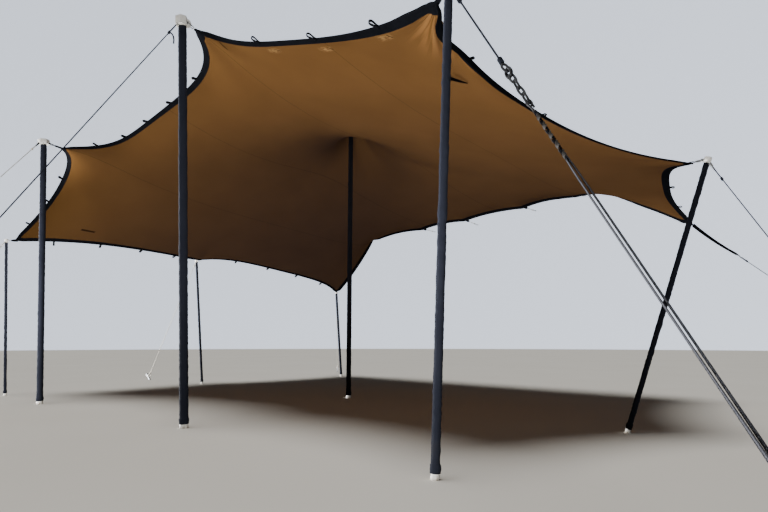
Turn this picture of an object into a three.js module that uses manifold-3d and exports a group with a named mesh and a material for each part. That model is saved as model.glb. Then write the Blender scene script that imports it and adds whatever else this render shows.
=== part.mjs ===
// A stretch tent: one sheet of elastic cloth, drawn out by guys over seven edge poles
// and lifted at its middle by a centre pole.
// Millimetres, +Z up. The origin is the foot of the centre pole and +X runs along the
// front edge, with the open front towards -Y.

import * as THREE from 'three';
import { mergeVertices } from 'three/addons/utils/BufferGeometryUtils.js';
import Module from 'manifold-3d';

const wasm = await Module();
wasm.setup();

// Clearance between pieces that touch, and between the cloth and its twisting webbing
const SEAT = 0.3;
const HEM_SEAT = 0.8;

// Cloth: sewn strips that run from front to back, and the webbing round their edge
const CLOTH_THICKNESS = 4;
const STRIPS = 5;
const COLUMNS_PER_STRIP = 7;
const COLUMNS = STRIPS * COLUMNS_PER_STRIP;
const ROWS = 26;
const FRONT_STOPS = [0, 7, 21, COLUMNS];
const SIDE_STOP = 13;
const REAR_STOP = 7;
const PEAK_HEIGHT = 4900;
const PEAK_CELL = 280;
const BAND_WIDTH = 70;
const BAND_THICKNESS = 8;
const LOOP_WIDTH = 40;
const LOOP_REACH = 80;
const LOOP_SUNK = 8;
const LOOP_THICKNESS = 6;
const TAB_WIDTH = 46;
const TAB_THICKNESS = 12;
const TAB_SUNK = 20;

// Poles: a tube in a cloth sleeve, bare at the foot, with a head on its top
const SLEEVE_THICKNESS = 4;
const BARE_FOOT = 46;
const SLEEVE_TOP_GAP = 12;
const POLE_SIDES = 16;

// A head's dome, as shares of its half width and its height, and its two lugs
const DOME = [[0, 0], [0.82, 0], [1, 0.14], [1, 0.72], [0.66, 0.95], [0, 1]];
const LUG_PAST_HEAD = 26;
const TIP_LUG_HEIGHT = 0.6;
const GUY_LUG_WIDTH = 2.2;

// Guys and the stakes that hold them
const ROPE_SIDES = 8;
const STAKE_WIDTH = 34;
const STAKE_LENGTH = 230;
const STAKE_HEAD_WIDTH = 62;
const STAKE_HEAD_THICKNESS = 14;
const GUY_UP_STAKE = 110;

// A guy rope's knots, in rope widths: how thick they are, and where each starts from its
// end of the rope
const KNOT = { width: 2.5, upper: 1.25, lower: 8 };

// Each edge pole: its foot, its top, the tip of the cloth that it holds and its stake
const EDGE_POLES = [
  {
    name: 'front_left', foot: [-4790, -3870], top: [-4930, -4060, 2840], width: 50,
    head: { width: 58, height: 62 }, tip: [-4818, -3948, 2810],
    stake: [-6350, -5480], rope: 12,
  },
  {
    name: 'front_inner_left', foot: [-2900, -3880], top: [-3000, -4140, 4250], width: 94,
    head: { width: 164, height: 130 }, tip: [-2974, -3882, 4173],
    stake: [-3000, -7000], rope: 14, dark: true,
  },
  {
    name: 'front_inner_right', foot: [1040, -3600], top: [1000, -3880, 4910], width: 100,
    head: { width: 152, height: 125 }, tip: [1000, -3706, 4814],
    stake: [1000, -6680], rope: 14, dark: true,
  },
  {
    name: 'front_right', foot: [4580, -3610], top: [4815, -3660, 3700], width: 67,
    head: { width: 100, height: 110 }, tip: [4655, -3600, 3637],
    stake: [6980, -4700], rope: 12, dark: true, ropeEnd: 1220,
  },
  {
    name: 'right_middle', foot: [4870, -600], top: [5860, -600, 2840], width: 58,
    head: { width: 76, height: 76 }, tip: [5684, -600, 2810],
    stake: [7190, -600], rope: 12,
  },
  {
    name: 'rear_left', foot: [-4500, 4100], top: [-4800, 4150, 2400], width: 66,
    head: { width: 76, height: 64 }, tip: [-4675, 4025, 2359],
    stake: [-6200, 5550], rope: 12,
  },
  {
    name: 'left_middle', foot: [-4780, -10], top: [-4970, -200, 2880], width: 55,
    head: { width: 66, height: 62 }, tip: [-4807, -200, 2846],
    stake: [-6950, -200], rope: 12,
  },
];
const CENTRE_POLE = { width: 83, headWidth: 300, headHeight: 90, headFlat: 200, socket: 120 };

// The rear right corner has no pole: a strap and a rope hold its tip straight
const FREE_CORNER = {
  name: 'rear_right', tip: [4786, 3086, 2879], stake: [7600, 5000],
  tabLength: 70, strapLength: 960, strapWidth: 50, strapThickness: 6, rope: 12,
  hookWidth: 32, hookLength: 90,
};

// The front right guy is tightened by a strap doubled round its stake and wound on itself
const LASHING = {
  length: 850, width: 46, turns: 7, strapShare: 0.72, turnRise: [0.2, 0.5, 0.8],
};
const STRAP_LOOP = { width: 62, thickness: 5, webbing: 25 };

// Rope ties that pull the rear edge back, by their places along it from the left
const REAR_TIE_PLACES = [0.03, 0.22, 0.385, 0.575, 0.72];
const REAR_TIE = { length: 420, rope: 12, knotWidth: 29, hookWidth: 40, hookLength: 90 };

// The edge between two tips is drawn in and up (or down) at its middle. A high flatness
// makes it run straighter with tighter turns at the tips, and lean moves its middle.
// Loops of webbing stand out of it at these shares of its way.
const EDGES = {
  frontLeft: { in: 443, up: 460, flatness: 2.2, lean: 0.81, loops: [0.07, 0.23, 0.46] },
  frontMiddle: { in: 766, up: 135, flatness: 4.4, lean: 0.81, loops: [0.06, 0.19, 0.36, 0.54, 0.74] },
  frontRight: { in: 462, up: -29, flatness: 3.1, lean: 0.67, loops: [0.18, 0.45, 0.73] },
  rightFront: { in: 300, up: -197, flatness: 2.34, lean: 0.74, loops: [0.14, 0.27, 0.45, 0.65, 0.84] },
  rightRear: { in: 284, up: 298, flatness: 3.28, lean: 1.33, loops: [0.2, 0.41, 0.62, 0.91] },
  leftFront: { in: 380, up: 66, flatness: 1.8, lean: 0.7, loops: [0.15, 0.37, 0.6, 0.82] },
  leftRear: { in: 421, up: 129, flatness: 4.0, lean: 0.94, loops: [0.18, 0.39, 0.6, 0.81] },
  rearLeft: { in: 60, up: -150, flatness: 2.2, lean: 1.2, loops: [] },
};

// The tied stretch of the rear edge, from the first tie to the free corner
const REAR_LINE = [
  [-3030, 3780, 3640], [-1870, 3690, 3680], [-420, 3570, 3700], [870, 3470, 3720],
  [2380, 3350, 3740], [3300, 3280, 3700], [4100, 3220, 3300], FREE_CORNER.tip,
];

const vector = (point) => new THREE.Vector3(...point);
const tipOf = (name) => vector(EDGE_POLES.find((pole) => pole.name === name).tip);

function material(color, roughness, metalness = 0) {
  return new THREE.MeshStandardMaterial({ color, roughness, metalness });
}

const cloth = () => material(0x8a6236, 0.85);
const webbing = () => material(0x101114, 0.8);
const sleeveCloth = () => material(0x1b2030, 0.9);
const paintedTube = () => material(0xe4e4e0, 0.45);
const plastic = () => material(0xeeeeea, 0.4);
const darkRope = () => material(0x2c2f36, 0.85);
const paleRope = () => material(0xd9d6cc, 0.85);
const steel = () => material(0x8d9094, 0.45, 0.9);

const tent = new THREE.Group();

function add(name, geometry, look) {
  const mesh = new THREE.Mesh(geometry, look);
  mesh.name = name;
  tent.add(mesh);
  return mesh;
}

// Solids for cutting and joining

function toSolid(geometry) {
  const bare = geometry.clone();
  bare.deleteAttribute('normal');
  bare.deleteAttribute('uv');
  const merged = mergeVertices(bare, 1e-3);
  return new wasm.Manifold(new wasm.Mesh({
    numProp: 3,
    vertProperties: new Float32Array(merged.attributes.position.array),
    triVerts: new Uint32Array(merged.index.array),
  }));
}

function fromSolid(solid) {
  const mesh = solid.getMesh();
  const geometry = new THREE.BufferGeometry();
  geometry.setAttribute('position', new THREE.BufferAttribute(mesh.vertProperties, 3));
  geometry.setIndex(new THREE.BufferAttribute(mesh.triVerts, 1));
  geometry.computeVertexNormals();
  return geometry;
}

function join(geometries) {
  const solids = geometries.map(toSolid);
  return fromSolid(solids.slice(1).reduce((whole, solid) => whole.add(solid), solids[0]));
}

// The matrix that puts a shape's Z axis along a line that starts at a point. Its X axis
// stays level unless the line is upright.
function alongLine(start, direction) {
  const z = direction.clone().normalize();
  const level = new THREE.Vector3(0, 0, 1).cross(z);
  const x = level.lengthSq() < 1e-8 ? new THREE.Vector3(1, 0, 0) : level.normalize();
  const y = z.clone().cross(x);
  return new THREE.Matrix4().makeBasis(x, y, z).setPosition(start);
}

// A turned piece: profile points are [radius, distance along the line]
function turned(profile, start, direction, sides) {
  const outline = profile.map(([radius, along]) => new THREE.Vector2(radius, along));
  const geometry = new THREE.LatheGeometry(outline, sides);
  geometry.rotateX(Math.PI / 2);
  geometry.scale(1, -1, 1);
  const index = geometry.index.array;
  for (let i = 0; i < index.length; i += 3) {
    [index[i], index[i + 1]] = [index[i + 1], index[i]];
  }
  return geometry.applyMatrix4(alongLine(start, direction));
}

// A square bar with its length along the line
function bar(width, thickness, from, to) {
  const direction = to.clone().sub(from);
  const geometry = new THREE.BoxGeometry(width, thickness, direction.length());
  geometry.translate(0, 0, direction.length() / 2);
  return geometry.applyMatrix4(alongLine(from, direction));
}

// Slides the points near the ground along a leaning axis until they lie on it
function standOnGround(geometry, direction, reach) {
  const position = geometry.attributes.position;
  for (let i = 0; i < position.count; i += 1) {
    const z = position.getZ(i);
    if (z < reach) {
      const slide = -z / direction.z;
      position.setXYZ(
        i,
        position.getX(i) + direction.x * slide,
        position.getY(i) + direction.y * slide,
        0,
      );
    }
  }
  return geometry;
}

// Form of the cloth

// A point of an edge, by its share of the way. The cloth lies to the left of an edge that
// runs anticlockwise round the tent, and to the right of one drawn the other way.
function edgePoint(from, to, edge, share, anticlockwise = true) {
  const chord = to.clone().sub(from);
  const left = new THREE.Vector3(-chord.y, chord.x, 0).normalize();
  const swell = 1 - Math.abs(2 * share ** edge.lean - 1) ** edge.flatness;
  return from.clone()
    .addScaledVector(chord, share)
    .addScaledVector(left, (anticlockwise ? 1 : -1) * edge.in * swell)
    .add(new THREE.Vector3(0, 0, edge.up * swell));
}

const FRONT_TIPS = ['front_left', 'front_inner_left', 'front_inner_right', 'front_right'].map(tipOf);
const FRONT_EDGES = [EDGES.frontLeft, EDGES.frontMiddle, EDGES.frontRight];
const rearCurve = new THREE.CatmullRomCurve3(REAR_LINE.map(vector), false, 'centripetal');

function frontPoint(column) {
  const span = FRONT_STOPS.slice(1, -1).filter((stop) => stop <= column).length;
  const share = (column - FRONT_STOPS[span]) / (FRONT_STOPS[span + 1] - FRONT_STOPS[span]);
  return edgePoint(FRONT_TIPS[span], FRONT_TIPS[span + 1], FRONT_EDGES[span], share);
}

function rearPoint(column) {
  if (column < REAR_STOP) {
    const firstTie = vector(REAR_LINE[0]);
    return edgePoint(tipOf('rear_left'), firstTie, EDGES.rearLeft, column / REAR_STOP, false);
  }
  return rearCurve.getPointAt((column - REAR_STOP) / (COLUMNS - REAR_STOP));
}

function leftPoint(row) {
  const middle = tipOf('left_middle');
  if (row < SIDE_STOP) {
    return edgePoint(tipOf('front_left'), middle, EDGES.leftFront, row / SIDE_STOP, false);
  }
  const share = (row - SIDE_STOP) / (ROWS - SIDE_STOP);
  return edgePoint(middle, tipOf('rear_left'), EDGES.leftRear, share, false);
}

function rightPoint(row) {
  const middle = tipOf('right_middle');
  if (row < SIDE_STOP) {
    return edgePoint(tipOf('front_right'), middle, EDGES.rightFront, row / SIDE_STOP);
  }
  const share = (row - SIDE_STOP) / (ROWS - SIDE_STOP);
  return edgePoint(middle, vector(FREE_CORNER.tip), EDGES.rightRear, share);
}

// The cloth at rest: a net of equal pulls between its edge and the peak. It starts as an
// even blend of its four sides, and each sweep moves every free knot towards the mean of
// its neighbours, past it by the same factor so that it settles sooner.
const PAST_THE_MEAN = 1.85;
const SWEEPS = 400;

function relaxedNet() {
  const net = [];
  for (let i = 0; i <= COLUMNS; i += 1) {
    net.push([]);
    for (let j = 0; j <= ROWS; j += 1) {
      const across = i / COLUMNS;
      const deep = j / ROWS;
      const point = frontPoint(i).multiplyScalar(1 - deep)
        .addScaledVector(rearPoint(i), deep)
        .addScaledVector(leftPoint(j), 1 - across)
        .addScaledVector(rightPoint(j), across)
        .addScaledVector(frontPoint(0), -(1 - across) * (1 - deep))
        .addScaledVector(frontPoint(COLUMNS), -across * (1 - deep))
        .addScaledVector(rearPoint(0), -(1 - across) * deep)
        .addScaledVector(rearPoint(COLUMNS), -across * deep);
      net[i].push(point);
    }
  }
  const held = new Set();
  const columns = [Math.floor(COLUMNS / 2), Math.floor(COLUMNS / 2) + 1];
  const rows = [ROWS / 2 + 1, ROWS / 2 + 2];
  columns.forEach((i, right) => rows.forEach((j, back) => {
    net[i][j].set((right - 0.5) * PEAK_CELL, (back - 0.5) * PEAK_CELL, PEAK_HEIGHT);
    held.add(i * (ROWS + 1) + j);
  }));
  const mean = new THREE.Vector3();
  for (let sweep = 0; sweep < SWEEPS; sweep += 1) {
    for (let i = 1; i < COLUMNS; i += 1) {
      for (let j = 1; j < ROWS; j += 1) {
        if (!held.has(i * (ROWS + 1) + j)) {
          mean.copy(net[i - 1][j]).add(net[i + 1][j]).add(net[i][j - 1]).add(net[i][j + 1]);
          net[i][j].lerp(mean.multiplyScalar(1 / 4), PAST_THE_MEAN);
        }
      }
    }
  }
  return net;
}

const net = relaxedNet();

// The edge as a ring of net places, anticlockwise from the front left corner
const upTo = (count) => [...Array(count).keys()];
const ring = [
  ...upTo(COLUMNS).map((i) => [i, 0]),
  ...upTo(ROWS).map((j) => [COLUMNS, j]),
  ...upTo(COLUMNS).map((i) => [COLUMNS - i, ROWS]),
  ...upTo(ROWS).map((j) => [0, ROWS - j]),
];

// At each place of the ring: the point, the way in, the way up and the mitre's length
const SHARPEST_MITRE = 0.4;
const edgeFrames = ring.map(([i, j], k) => {
  const point = net[i][j];
  const [pi, pj] = ring[(k + ring.length - 1) % ring.length];
  const [ni, nj] = ring[(k + 1) % ring.length];
  const into = net[Math.min(Math.max(i, 1), COLUMNS - 1)][Math.min(Math.max(j, 1), ROWS - 1)];
  const before = point.clone().sub(net[pi][pj]).normalize();
  const after = net[ni][nj].clone().sub(point).normalize();
  const along = before.clone().add(after).normalize();
  const up = along.clone().cross(into.clone().sub(point)).normalize();
  const side = up.clone().cross(after).normalize();
  const inward = up.clone().cross(before).add(up.clone().cross(after)).normalize();
  const mitre = 1 / Math.max(inward.dot(side), SHARPEST_MITRE);
  return { point, inward, up, mitre, along };
});

const placeIn = (frame, distance, rise) => frame.point.clone()
  .addScaledVector(frame.inward, distance * frame.mitre)
  .addScaledVector(frame.up, rise);

// The cloth's own edge lies against the inner side of the webbing
const clothEdge = net.map((column) => column.map((point) => point.clone()));
const edgeUps = new Map();
ring.forEach(([i, j], k) => {
  clothEdge[i][j] = placeIn(edgeFrames[k], BAND_WIDTH / 2 + HEM_SEAT, 0);
  edgeUps.set(`${i} ${j}`, edgeFrames[k].up);
});

// The way from front to back along a column of the net
function seamAt(i, j) {
  const ahead = clothEdge[i][Math.min(j + 1, ROWS)];
  return ahead.clone().sub(clothEdge[i][Math.max(j - 1, 0)]);
}

function netNormal(i, j) {
  const edgeUp = edgeUps.get(`${i} ${j}`);
  if (edgeUp) return edgeUp;
  const across = clothEdge[i + 1][j].clone().sub(clothEdge[i - 1][j]);
  return across.cross(seamAt(i, j)).normalize();
}

function closedGeometry(points, faces) {
  const geometry = new THREE.BufferGeometry();
  const values = new Float32Array(points.flatMap((point) => point.toArray()));
  geometry.setAttribute('position', new THREE.BufferAttribute(values, 3));
  geometry.setIndex(faces.flat());
  geometry.computeVertexNormals();
  return geometry;
}

// How far a column of a strip is moved to leave room at its seam with the next strip
function seamShift(i, first, last) {
  if (i === first && first > 0) return SEAT;
  if (i === last && last < COLUMNS) return -SEAT;
  return 0;
}

// One sewn strip of the cloth, between two of the net's columns
function clothStrip(first, last) {
  const points = [];
  const wide = last - first + 1;
  const deep = ROWS + 1;
  for (const side of [1, -1]) {
    for (let i = first; i <= last; i += 1) {
      const shift = seamShift(i, first, last);
      for (let j = 0; j <= ROWS; j += 1) {
        const normal = netNormal(i, j);
        points.push(clothEdge[i][j].clone()
          .addScaledVector(normal, side * CLOTH_THICKNESS / 2)
          .addScaledVector(seamAt(i, j).cross(normal).normalize(), shift));
      }
    }
  }
  const at = (layer, i, j) => layer * wide * deep + i * deep + j;
  const faces = [];
  const quad = (a, b, c, d) => faces.push([a, b, c], [a, c, d]);
  for (let i = 0; i < wide - 1; i += 1) {
    for (let j = 0; j < deep - 1; j += 1) {
      quad(at(0, i, j), at(0, i + 1, j), at(0, i + 1, j + 1), at(0, i, j + 1));
      quad(at(1, i, j), at(1, i, j + 1), at(1, i + 1, j + 1), at(1, i + 1, j));
    }
  }
  for (let i = 0; i < wide - 1; i += 1) {
    quad(at(0, i, 0), at(1, i, 0), at(1, i + 1, 0), at(0, i + 1, 0));
    quad(at(0, i + 1, deep - 1), at(1, i + 1, deep - 1), at(1, i, deep - 1), at(0, i, deep - 1));
  }
  for (let j = 0; j < deep - 1; j += 1) {
    quad(at(0, 0, j + 1), at(1, 0, j + 1), at(1, 0, j), at(0, 0, j));
    quad(at(0, wide - 1, j), at(1, wide - 1, j), at(1, wide - 1, j + 1), at(0, wide - 1, j + 1));
  }
  return closedGeometry(points, faces);
}

for (let strip = 0; strip < STRIPS; strip += 1) {
  const first = strip * COLUMNS_PER_STRIP;
  add(`cloth_strip_${strip + 1}`, clothStrip(first, first + COLUMNS_PER_STRIP), cloth());
}

// Edge webbing

// A flat strap along the ring between two of its places
const STRAP_CORNERS = [[-1, -1], [-1, 1], [1, 1], [1, -1]];

function webbingStrap(firstPlace, lastPlace) {
  const points = [];
  const faces = [];
  const count = lastPlace - firstPlace + 1;
  for (let k = 0; k < count; k += 1) {
    const frame = edgeFrames[(firstPlace + k) % ring.length];
    const next = edgeFrames[(firstPlace + k + (k === 0 ? 1 : -1)) % ring.length];
    const trim = k === 0 || k === count - 1 ? SEAT / 2 : 0;
    const back = next.point.clone().sub(frame.point).setLength(trim);
    for (const [side, rise] of STRAP_CORNERS) {
      points.push(placeIn(frame, side * BAND_WIDTH / 2, rise * BAND_THICKNESS / 2).add(back));
    }
  }
  for (let k = 0; k < count - 1; k += 1) {
    for (let c = 0; c < 4; c += 1) {
      const here = 4 * k + c;
      const beside = 4 * k + (c + 1) % 4;
      faces.push([here, here + 4, beside + 4], [here, beside + 4, beside]);
    }
  }
  const end = 4 * (count - 1);
  faces.push([0, 1, 2], [0, 2, 3], [end, end + 2, end + 1], [end, end + 3, end + 2]);
  return closedGeometry(points, faces);
}

function frameMatrix(frame, distance) {
  const out = frame.inward.clone().negate();
  const z = out.clone().cross(frame.along).normalize();
  const x = out.clone().cross(z).normalize();
  return new THREE.Matrix4().makeBasis(x, out, z).setPosition(placeIn(frame, distance, 0));
}

// A loop of webbing that stands out of the edge, its root sunk in the band
function webbingLoop(frame) {
  const geometry = new THREE.BoxGeometry(LOOP_WIDTH, LOOP_REACH + LOOP_SUNK, LOOP_THICKNESS);
  geometry.translate(0, (LOOP_REACH - LOOP_SUNK) / 2, 0);
  return geometry.applyMatrix4(frameMatrix(frame, -BAND_WIDTH / 2));
}

// A tip's tab starts just inside the outer side of its webbing
function tabRoot(tip) {
  const frame = edgeFrames.find(({ point }) => point.distanceTo(tip) < 1);
  return placeIn(frame, TAB_SUNK - BAND_WIDTH / 2, 0);
}

// Pole heads: the cloth's tab and the guy are made fast to two lugs on the head
function headOf(pole) {
  const foot = vector([...pole.foot, 0]);
  const top = vector(pole.top);
  const axis = top.clone().sub(foot).normalize();
  const middle = top.clone().addScaledVector(axis, -pole.head.height / 2);
  const toTip = tabRoot(vector(pole.tip)).sub(middle).normalize();
  const ground = vector([...pole.stake, 0]);
  const reach = pole.head.width / 2 + LUG_PAST_HEAD;
  return { foot, top, axis, middle, toTip, ground, reach };
}

// Where a guy meets its stake: the stake leans back, square to the guy. The two are
// worked out from each other, and a few passes settle them.
const LEAN_PASSES = 8;

function guyLine(from, ground) {
  const out = new THREE.Vector3(ground.x - from.x, ground.y - from.y, 0).normalize();
  let end = ground.clone();
  let lean = new THREE.Vector3(0, 0, 1);
  for (let pass = 0; pass < LEAN_PASSES; pass += 1) {
    const along = end.clone().sub(from).normalize();
    lean = out.clone().multiplyScalar(-along.z)
      .add(new THREE.Vector3(0, 0, along.dot(out)))
      .normalize();
    end = ground.clone().addScaledVector(lean, GUY_UP_STAKE);
  }
  const direction = end.clone().sub(from).normalize();
  return { direction, lean, length: end.distanceTo(from) - STAKE_WIDTH / 2 - SEAT };
}

// The strip of webbing from a tip to what holds it, made larger all round by a margin
function tabBetween(root, end, margin) {
  const out = end.clone().sub(root).setLength(margin);
  const width = TAB_WIDTH + 2 * margin;
  return bar(width, TAB_THICKNESS + 2 * margin, root.clone().sub(out), end.clone().add(out));
}

function tabGeometry(pole, margin) {
  const { middle, toTip, reach } = headOf(pole);
  const end = middle.clone().addScaledVector(toTip, reach + SEAT);
  return tabBetween(tabRoot(vector(pole.tip)), end, margin);
}

const freeTip = vector(FREE_CORNER.tip);
const freeGuy = guyLine(freeTip, vector([...FREE_CORNER.stake, 0]));

function freeTabGeometry(margin) {
  const end = freeTip.clone().addScaledVector(freeGuy.direction, FREE_CORNER.tabLength);
  return tabBetween(tabRoot(freeTip), end, margin);
}

// The four sides of the edge, with the poles whose tabs belong to each
const corners = [0, COLUMNS, COLUMNS + ROWS, 2 * COLUMNS + ROWS, ring.length];
const loopPlaces = (edge, from, to) => edge.loops.map((share) => from + (to - from) * share);
const SIDES = [
  {
    name: 'front_edge_webbing',
    poles: ['front_left', 'front_inner_left', 'front_inner_right', 'front_right'],
    loops: FRONT_EDGES.flatMap((edge, n) => loopPlaces(edge, FRONT_STOPS[n], FRONT_STOPS[n + 1])),
  },
  {
    name: 'right_edge_webbing',
    poles: ['right_middle'],
    loops: [
      ...loopPlaces(EDGES.rightFront, corners[1], corners[1] + SIDE_STOP),
      ...loopPlaces(EDGES.rightRear, corners[1] + SIDE_STOP, corners[2]),
    ],
  },
  {
    name: 'rear_edge_webbing',
    poles: ['rear_left'],
    free: true,
    loops: REAR_TIE_PLACES.map((place) => corners[2] + (1 - place) * (COLUMNS - REAR_STOP)),
  },
  {
    name: 'left_edge_webbing',
    poles: ['left_middle'],
    loops: [
      ...loopPlaces(EDGES.leftRear, corners[4] - SIDE_STOP, corners[3]),
      ...loopPlaces(EDGES.leftFront, corners[4], corners[4] - SIDE_STOP),
    ],
  },
];

function poleNamed(name) {
  return EDGE_POLES.find((pole) => pole.name === name);
}

// The frame at a place of the ring, which may lie between two of its corners
function frameAt(place) {
  const before = edgeFrames[Math.floor(place) % ring.length];
  const after = edgeFrames[(Math.floor(place) + 1) % ring.length];
  const between = (pick) => pick(before).clone().lerp(pick(after), place % 1);
  const inward = between((frame) => frame.inward.clone().multiplyScalar(frame.mitre));
  return {
    point: between((frame) => frame.point),
    up: between((frame) => frame.up).normalize(),
    along: between((frame) => frame.along).normalize(),
    mitre: inward.length(),
    inward: inward.normalize(),
  };
}

// The front band runs whole. Each other band gives way to the tabs at its corners, and
// its scrap beyond a tab is dropped.
SIDES.forEach((side, s) => {
  const tabs = side.poles.map((name) => tabGeometry(poleNamed(name), 0));
  if (side.free) tabs.push(freeTabGeometry(0));
  const loops = side.loops.map((place) => webbingLoop(frameAt(place)));
  let strap = toSolid(webbingStrap(corners[s], corners[s + 1]));
  if (!side.free && s > 0) {
    for (const name of ['front_left', 'front_right', 'rear_left']) {
      strap = strap.subtract(toSolid(tabGeometry(poleNamed(name), SEAT)));
    }
    strap = strap.subtract(toSolid(freeTabGeometry(SEAT)));
    strap = strap.decompose().sort((one, other) => other.volume() - one.volume())[0];
  }
  const whole = [...tabs, ...loops]
    .reduce((solid, geometry) => solid.add(toSolid(geometry)), strap);
  add(side.name, fromSolid(whole), webbing());
});

// Poles

function poleGeometry(foot, axis, radius, length) {
  const profile = [[0, 0], [radius, 0], [radius, length], [0, length]];
  return standOnGround(turned(profile, foot, axis, POLE_SIDES), axis, radius);
}

function sleeveGeometry(foot, axis, outer, inner, from, to) {
  const profile = [[inner, from], [outer, from], [outer, to], [inner, to], [inner, from]];
  return turned(profile, foot, axis, POLE_SIDES);
}

for (const pole of EDGE_POLES) {
  const { foot, top, axis, middle, toTip, ground, reach } = headOf(pole);
  const tube = pole.width / 2 - SLEEVE_THICKNESS - SEAT;
  const toHead = top.distanceTo(foot) - pole.head.height;
  add(`${pole.name}_pole`, poleGeometry(foot, axis, tube, toHead - SEAT), paintedTube());
  add(
    `${pole.name}_sleeve`,
    sleeveGeometry(foot, axis, pole.width / 2, tube + SEAT, BARE_FOOT, toHead - SLEEVE_TOP_GAP),
    sleeveCloth(),
  );

  const wide = pole.head.width / 2;
  const high = pole.head.height;
  const dome = turned(
    DOME.map(([share, rise]) => [wide * share, high * rise]),
    foot.clone().addScaledVector(axis, toHead),
    axis,
    POLE_SIDES,
  );
  const guy = guyLine(middle, ground);
  const tipLugEnd = middle.clone().addScaledVector(toTip, reach);
  const tipLug = bar(TAB_WIDTH, high * TIP_LUG_HEIGHT, middle, tipLugEnd);
  const guyLugEnd = middle.clone().addScaledVector(guy.direction, reach);
  const guyLugWidth = pole.rope * GUY_LUG_WIDTH;
  const guyLug = bar(guyLugWidth, guyLugWidth, middle, guyLugEnd);
  const neck = pole.width / 2 + SEAT;
  const below = turned(
    [[0, -reach], [neck, -reach], [neck, 0], [0, 0]],
    foot.clone().addScaledVector(axis, toHead),
    axis,
    POLE_SIDES,
  );
  const head = toSolid(join([dome, tipLug, guyLug])).subtract(toSolid(below));
  add(`${pole.name}_head`, fromSolid(head), plastic());

  const start = middle.clone().addScaledVector(guy.direction, reach + SEAT);
  const full = guy.length - reach - SEAT;
  const length = pole.ropeEnd ? pole.ropeEnd - reach - SEAT : full;
  const rope = guyRope(pole.rope, length, start, guy.direction);
  add(`${pole.name}_guy_rope`, rope, pole.dark ? darkRope() : paleRope());
  addStake(pole.name, ground, guy.lean);

  if (pole.ropeEnd) {
    addLashing(middle, guy, pole.ropeEnd + SEAT);
  }
}

// A rope with a knot near each end
function guyRope(width, length, start, direction) {
  const thin = width / 2;
  const knot = width * KNOT.width / 2;
  const upper = width * KNOT.upper;
  const lower = length - width * KNOT.lower;
  return turned([
    [0, 0], [thin, 0], [thin, upper], [knot, upper + knot], [knot, upper + 3 * knot],
    [thin, upper + 4 * knot], [thin, lower], [knot, lower + knot], [knot, lower + 3 * knot],
    [thin, lower + 4 * knot], [thin, length], [0, length],
  ], start, direction, ROPE_SIDES);
}

function addStake(name, ground, lean) {
  const top = ground.clone().addScaledVector(lean, STAKE_LENGTH);
  const underHead = top.clone().addScaledVector(lean, -STAKE_HEAD_THICKNESS);
  const shaft = bar(STAKE_WIDTH, STAKE_WIDTH, ground, top);
  const head = bar(STAKE_HEAD_WIDTH, STAKE_HEAD_WIDTH, underHead, top);
  add(`${name}_stake`, join([standOnGround(shaft, lean, STAKE_WIDTH), head]), steel());
}

// The doubled strap and its lashing below the front right rope. Each turn of the lashing
// stands out over the middle of its pitch.
function addLashing(from, guy, lashingStart) {
  const start = from.clone().addScaledVector(guy.direction, lashingStart);
  const wide = LASHING.width / 2;
  const thin = wide * LASHING.strapShare;
  const profile = [[0, 0], [thin, 0]];
  const pitch = LASHING.length / LASHING.turns;
  for (let turn = 0; turn < LASHING.turns; turn += 1) {
    const [rise, crest, fall] = LASHING.turnRise.map((share) => pitch * (turn + share));
    profile.push([thin, rise], [wide, crest], [thin, fall]);
  }
  profile.push([thin, LASHING.length], [0, LASHING.length]);
  add('front_right_lashing', turned(profile, start, guy.direction, ROPE_SIDES), webbing());

  const loopStart = lashingStart + LASHING.length + SEAT;
  const long = guy.length - loopStart;
  const half = STRAP_LOOP.width / 2;
  const runRound = (path, radius) => path
    .absarc(0, half, radius, Math.PI, 2 * Math.PI, false)
    .absarc(0, long - half, radius, 0, Math.PI, false);
  const outline = runRound(new THREE.Shape(), half);
  outline.holes.push(runRound(new THREE.Path(), half - STRAP_LOOP.thickness));
  const loop = new THREE.ExtrudeGeometry(outline, {
    depth: STRAP_LOOP.webbing, bevelEnabled: false, curveSegments: 6,
  });
  loop.translate(0, 0, -STRAP_LOOP.webbing / 2);
  loop.rotateX(Math.PI / 2);
  const loopFrom = from.clone().addScaledVector(guy.direction, loopStart);
  loop.applyMatrix4(alongLine(loopFrom, guy.direction));
  add('front_right_strap_loop', loop, webbing());
}

// The rear right corner

const { strapWidth, strapThickness } = FREE_CORNER;
const strapStart = FREE_CORNER.tabLength + SEAT;
const strapEnd = strapStart + FREE_CORNER.strapLength;
const alongFree = (distance) => freeTip.clone().addScaledVector(freeGuy.direction, distance);
const freeStrap = bar(strapWidth, strapThickness, alongFree(strapStart), alongFree(strapEnd));
add('rear_right_strap', freeStrap, webbing());

const freeLong = freeGuy.length - strapEnd - SEAT;
const freeThin = FREE_CORNER.rope / 2;
const freeKnot = freeLong - FREE_CORNER.rope * KNOT.lower;
const hook = FREE_CORNER.hookWidth / 2;
add('rear_right_guy_rope', turned([
  [0, 0], [hook, 0], [hook, FREE_CORNER.hookLength - hook], [freeThin, FREE_CORNER.hookLength],
  [freeThin, freeKnot], [hook, freeKnot + hook], [hook, freeKnot + 3 * hook],
  [freeThin, freeKnot + 4 * hook], [freeThin, freeLong], [0, freeLong],
], alongFree(strapEnd + SEAT), freeGuy.direction, ROPE_SIDES), paleRope());
addStake('rear_right', vector([...FREE_CORNER.stake, 0]), freeGuy.lean);

// Rear ties, each from a loop of the rear edge to the hook at its end

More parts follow.
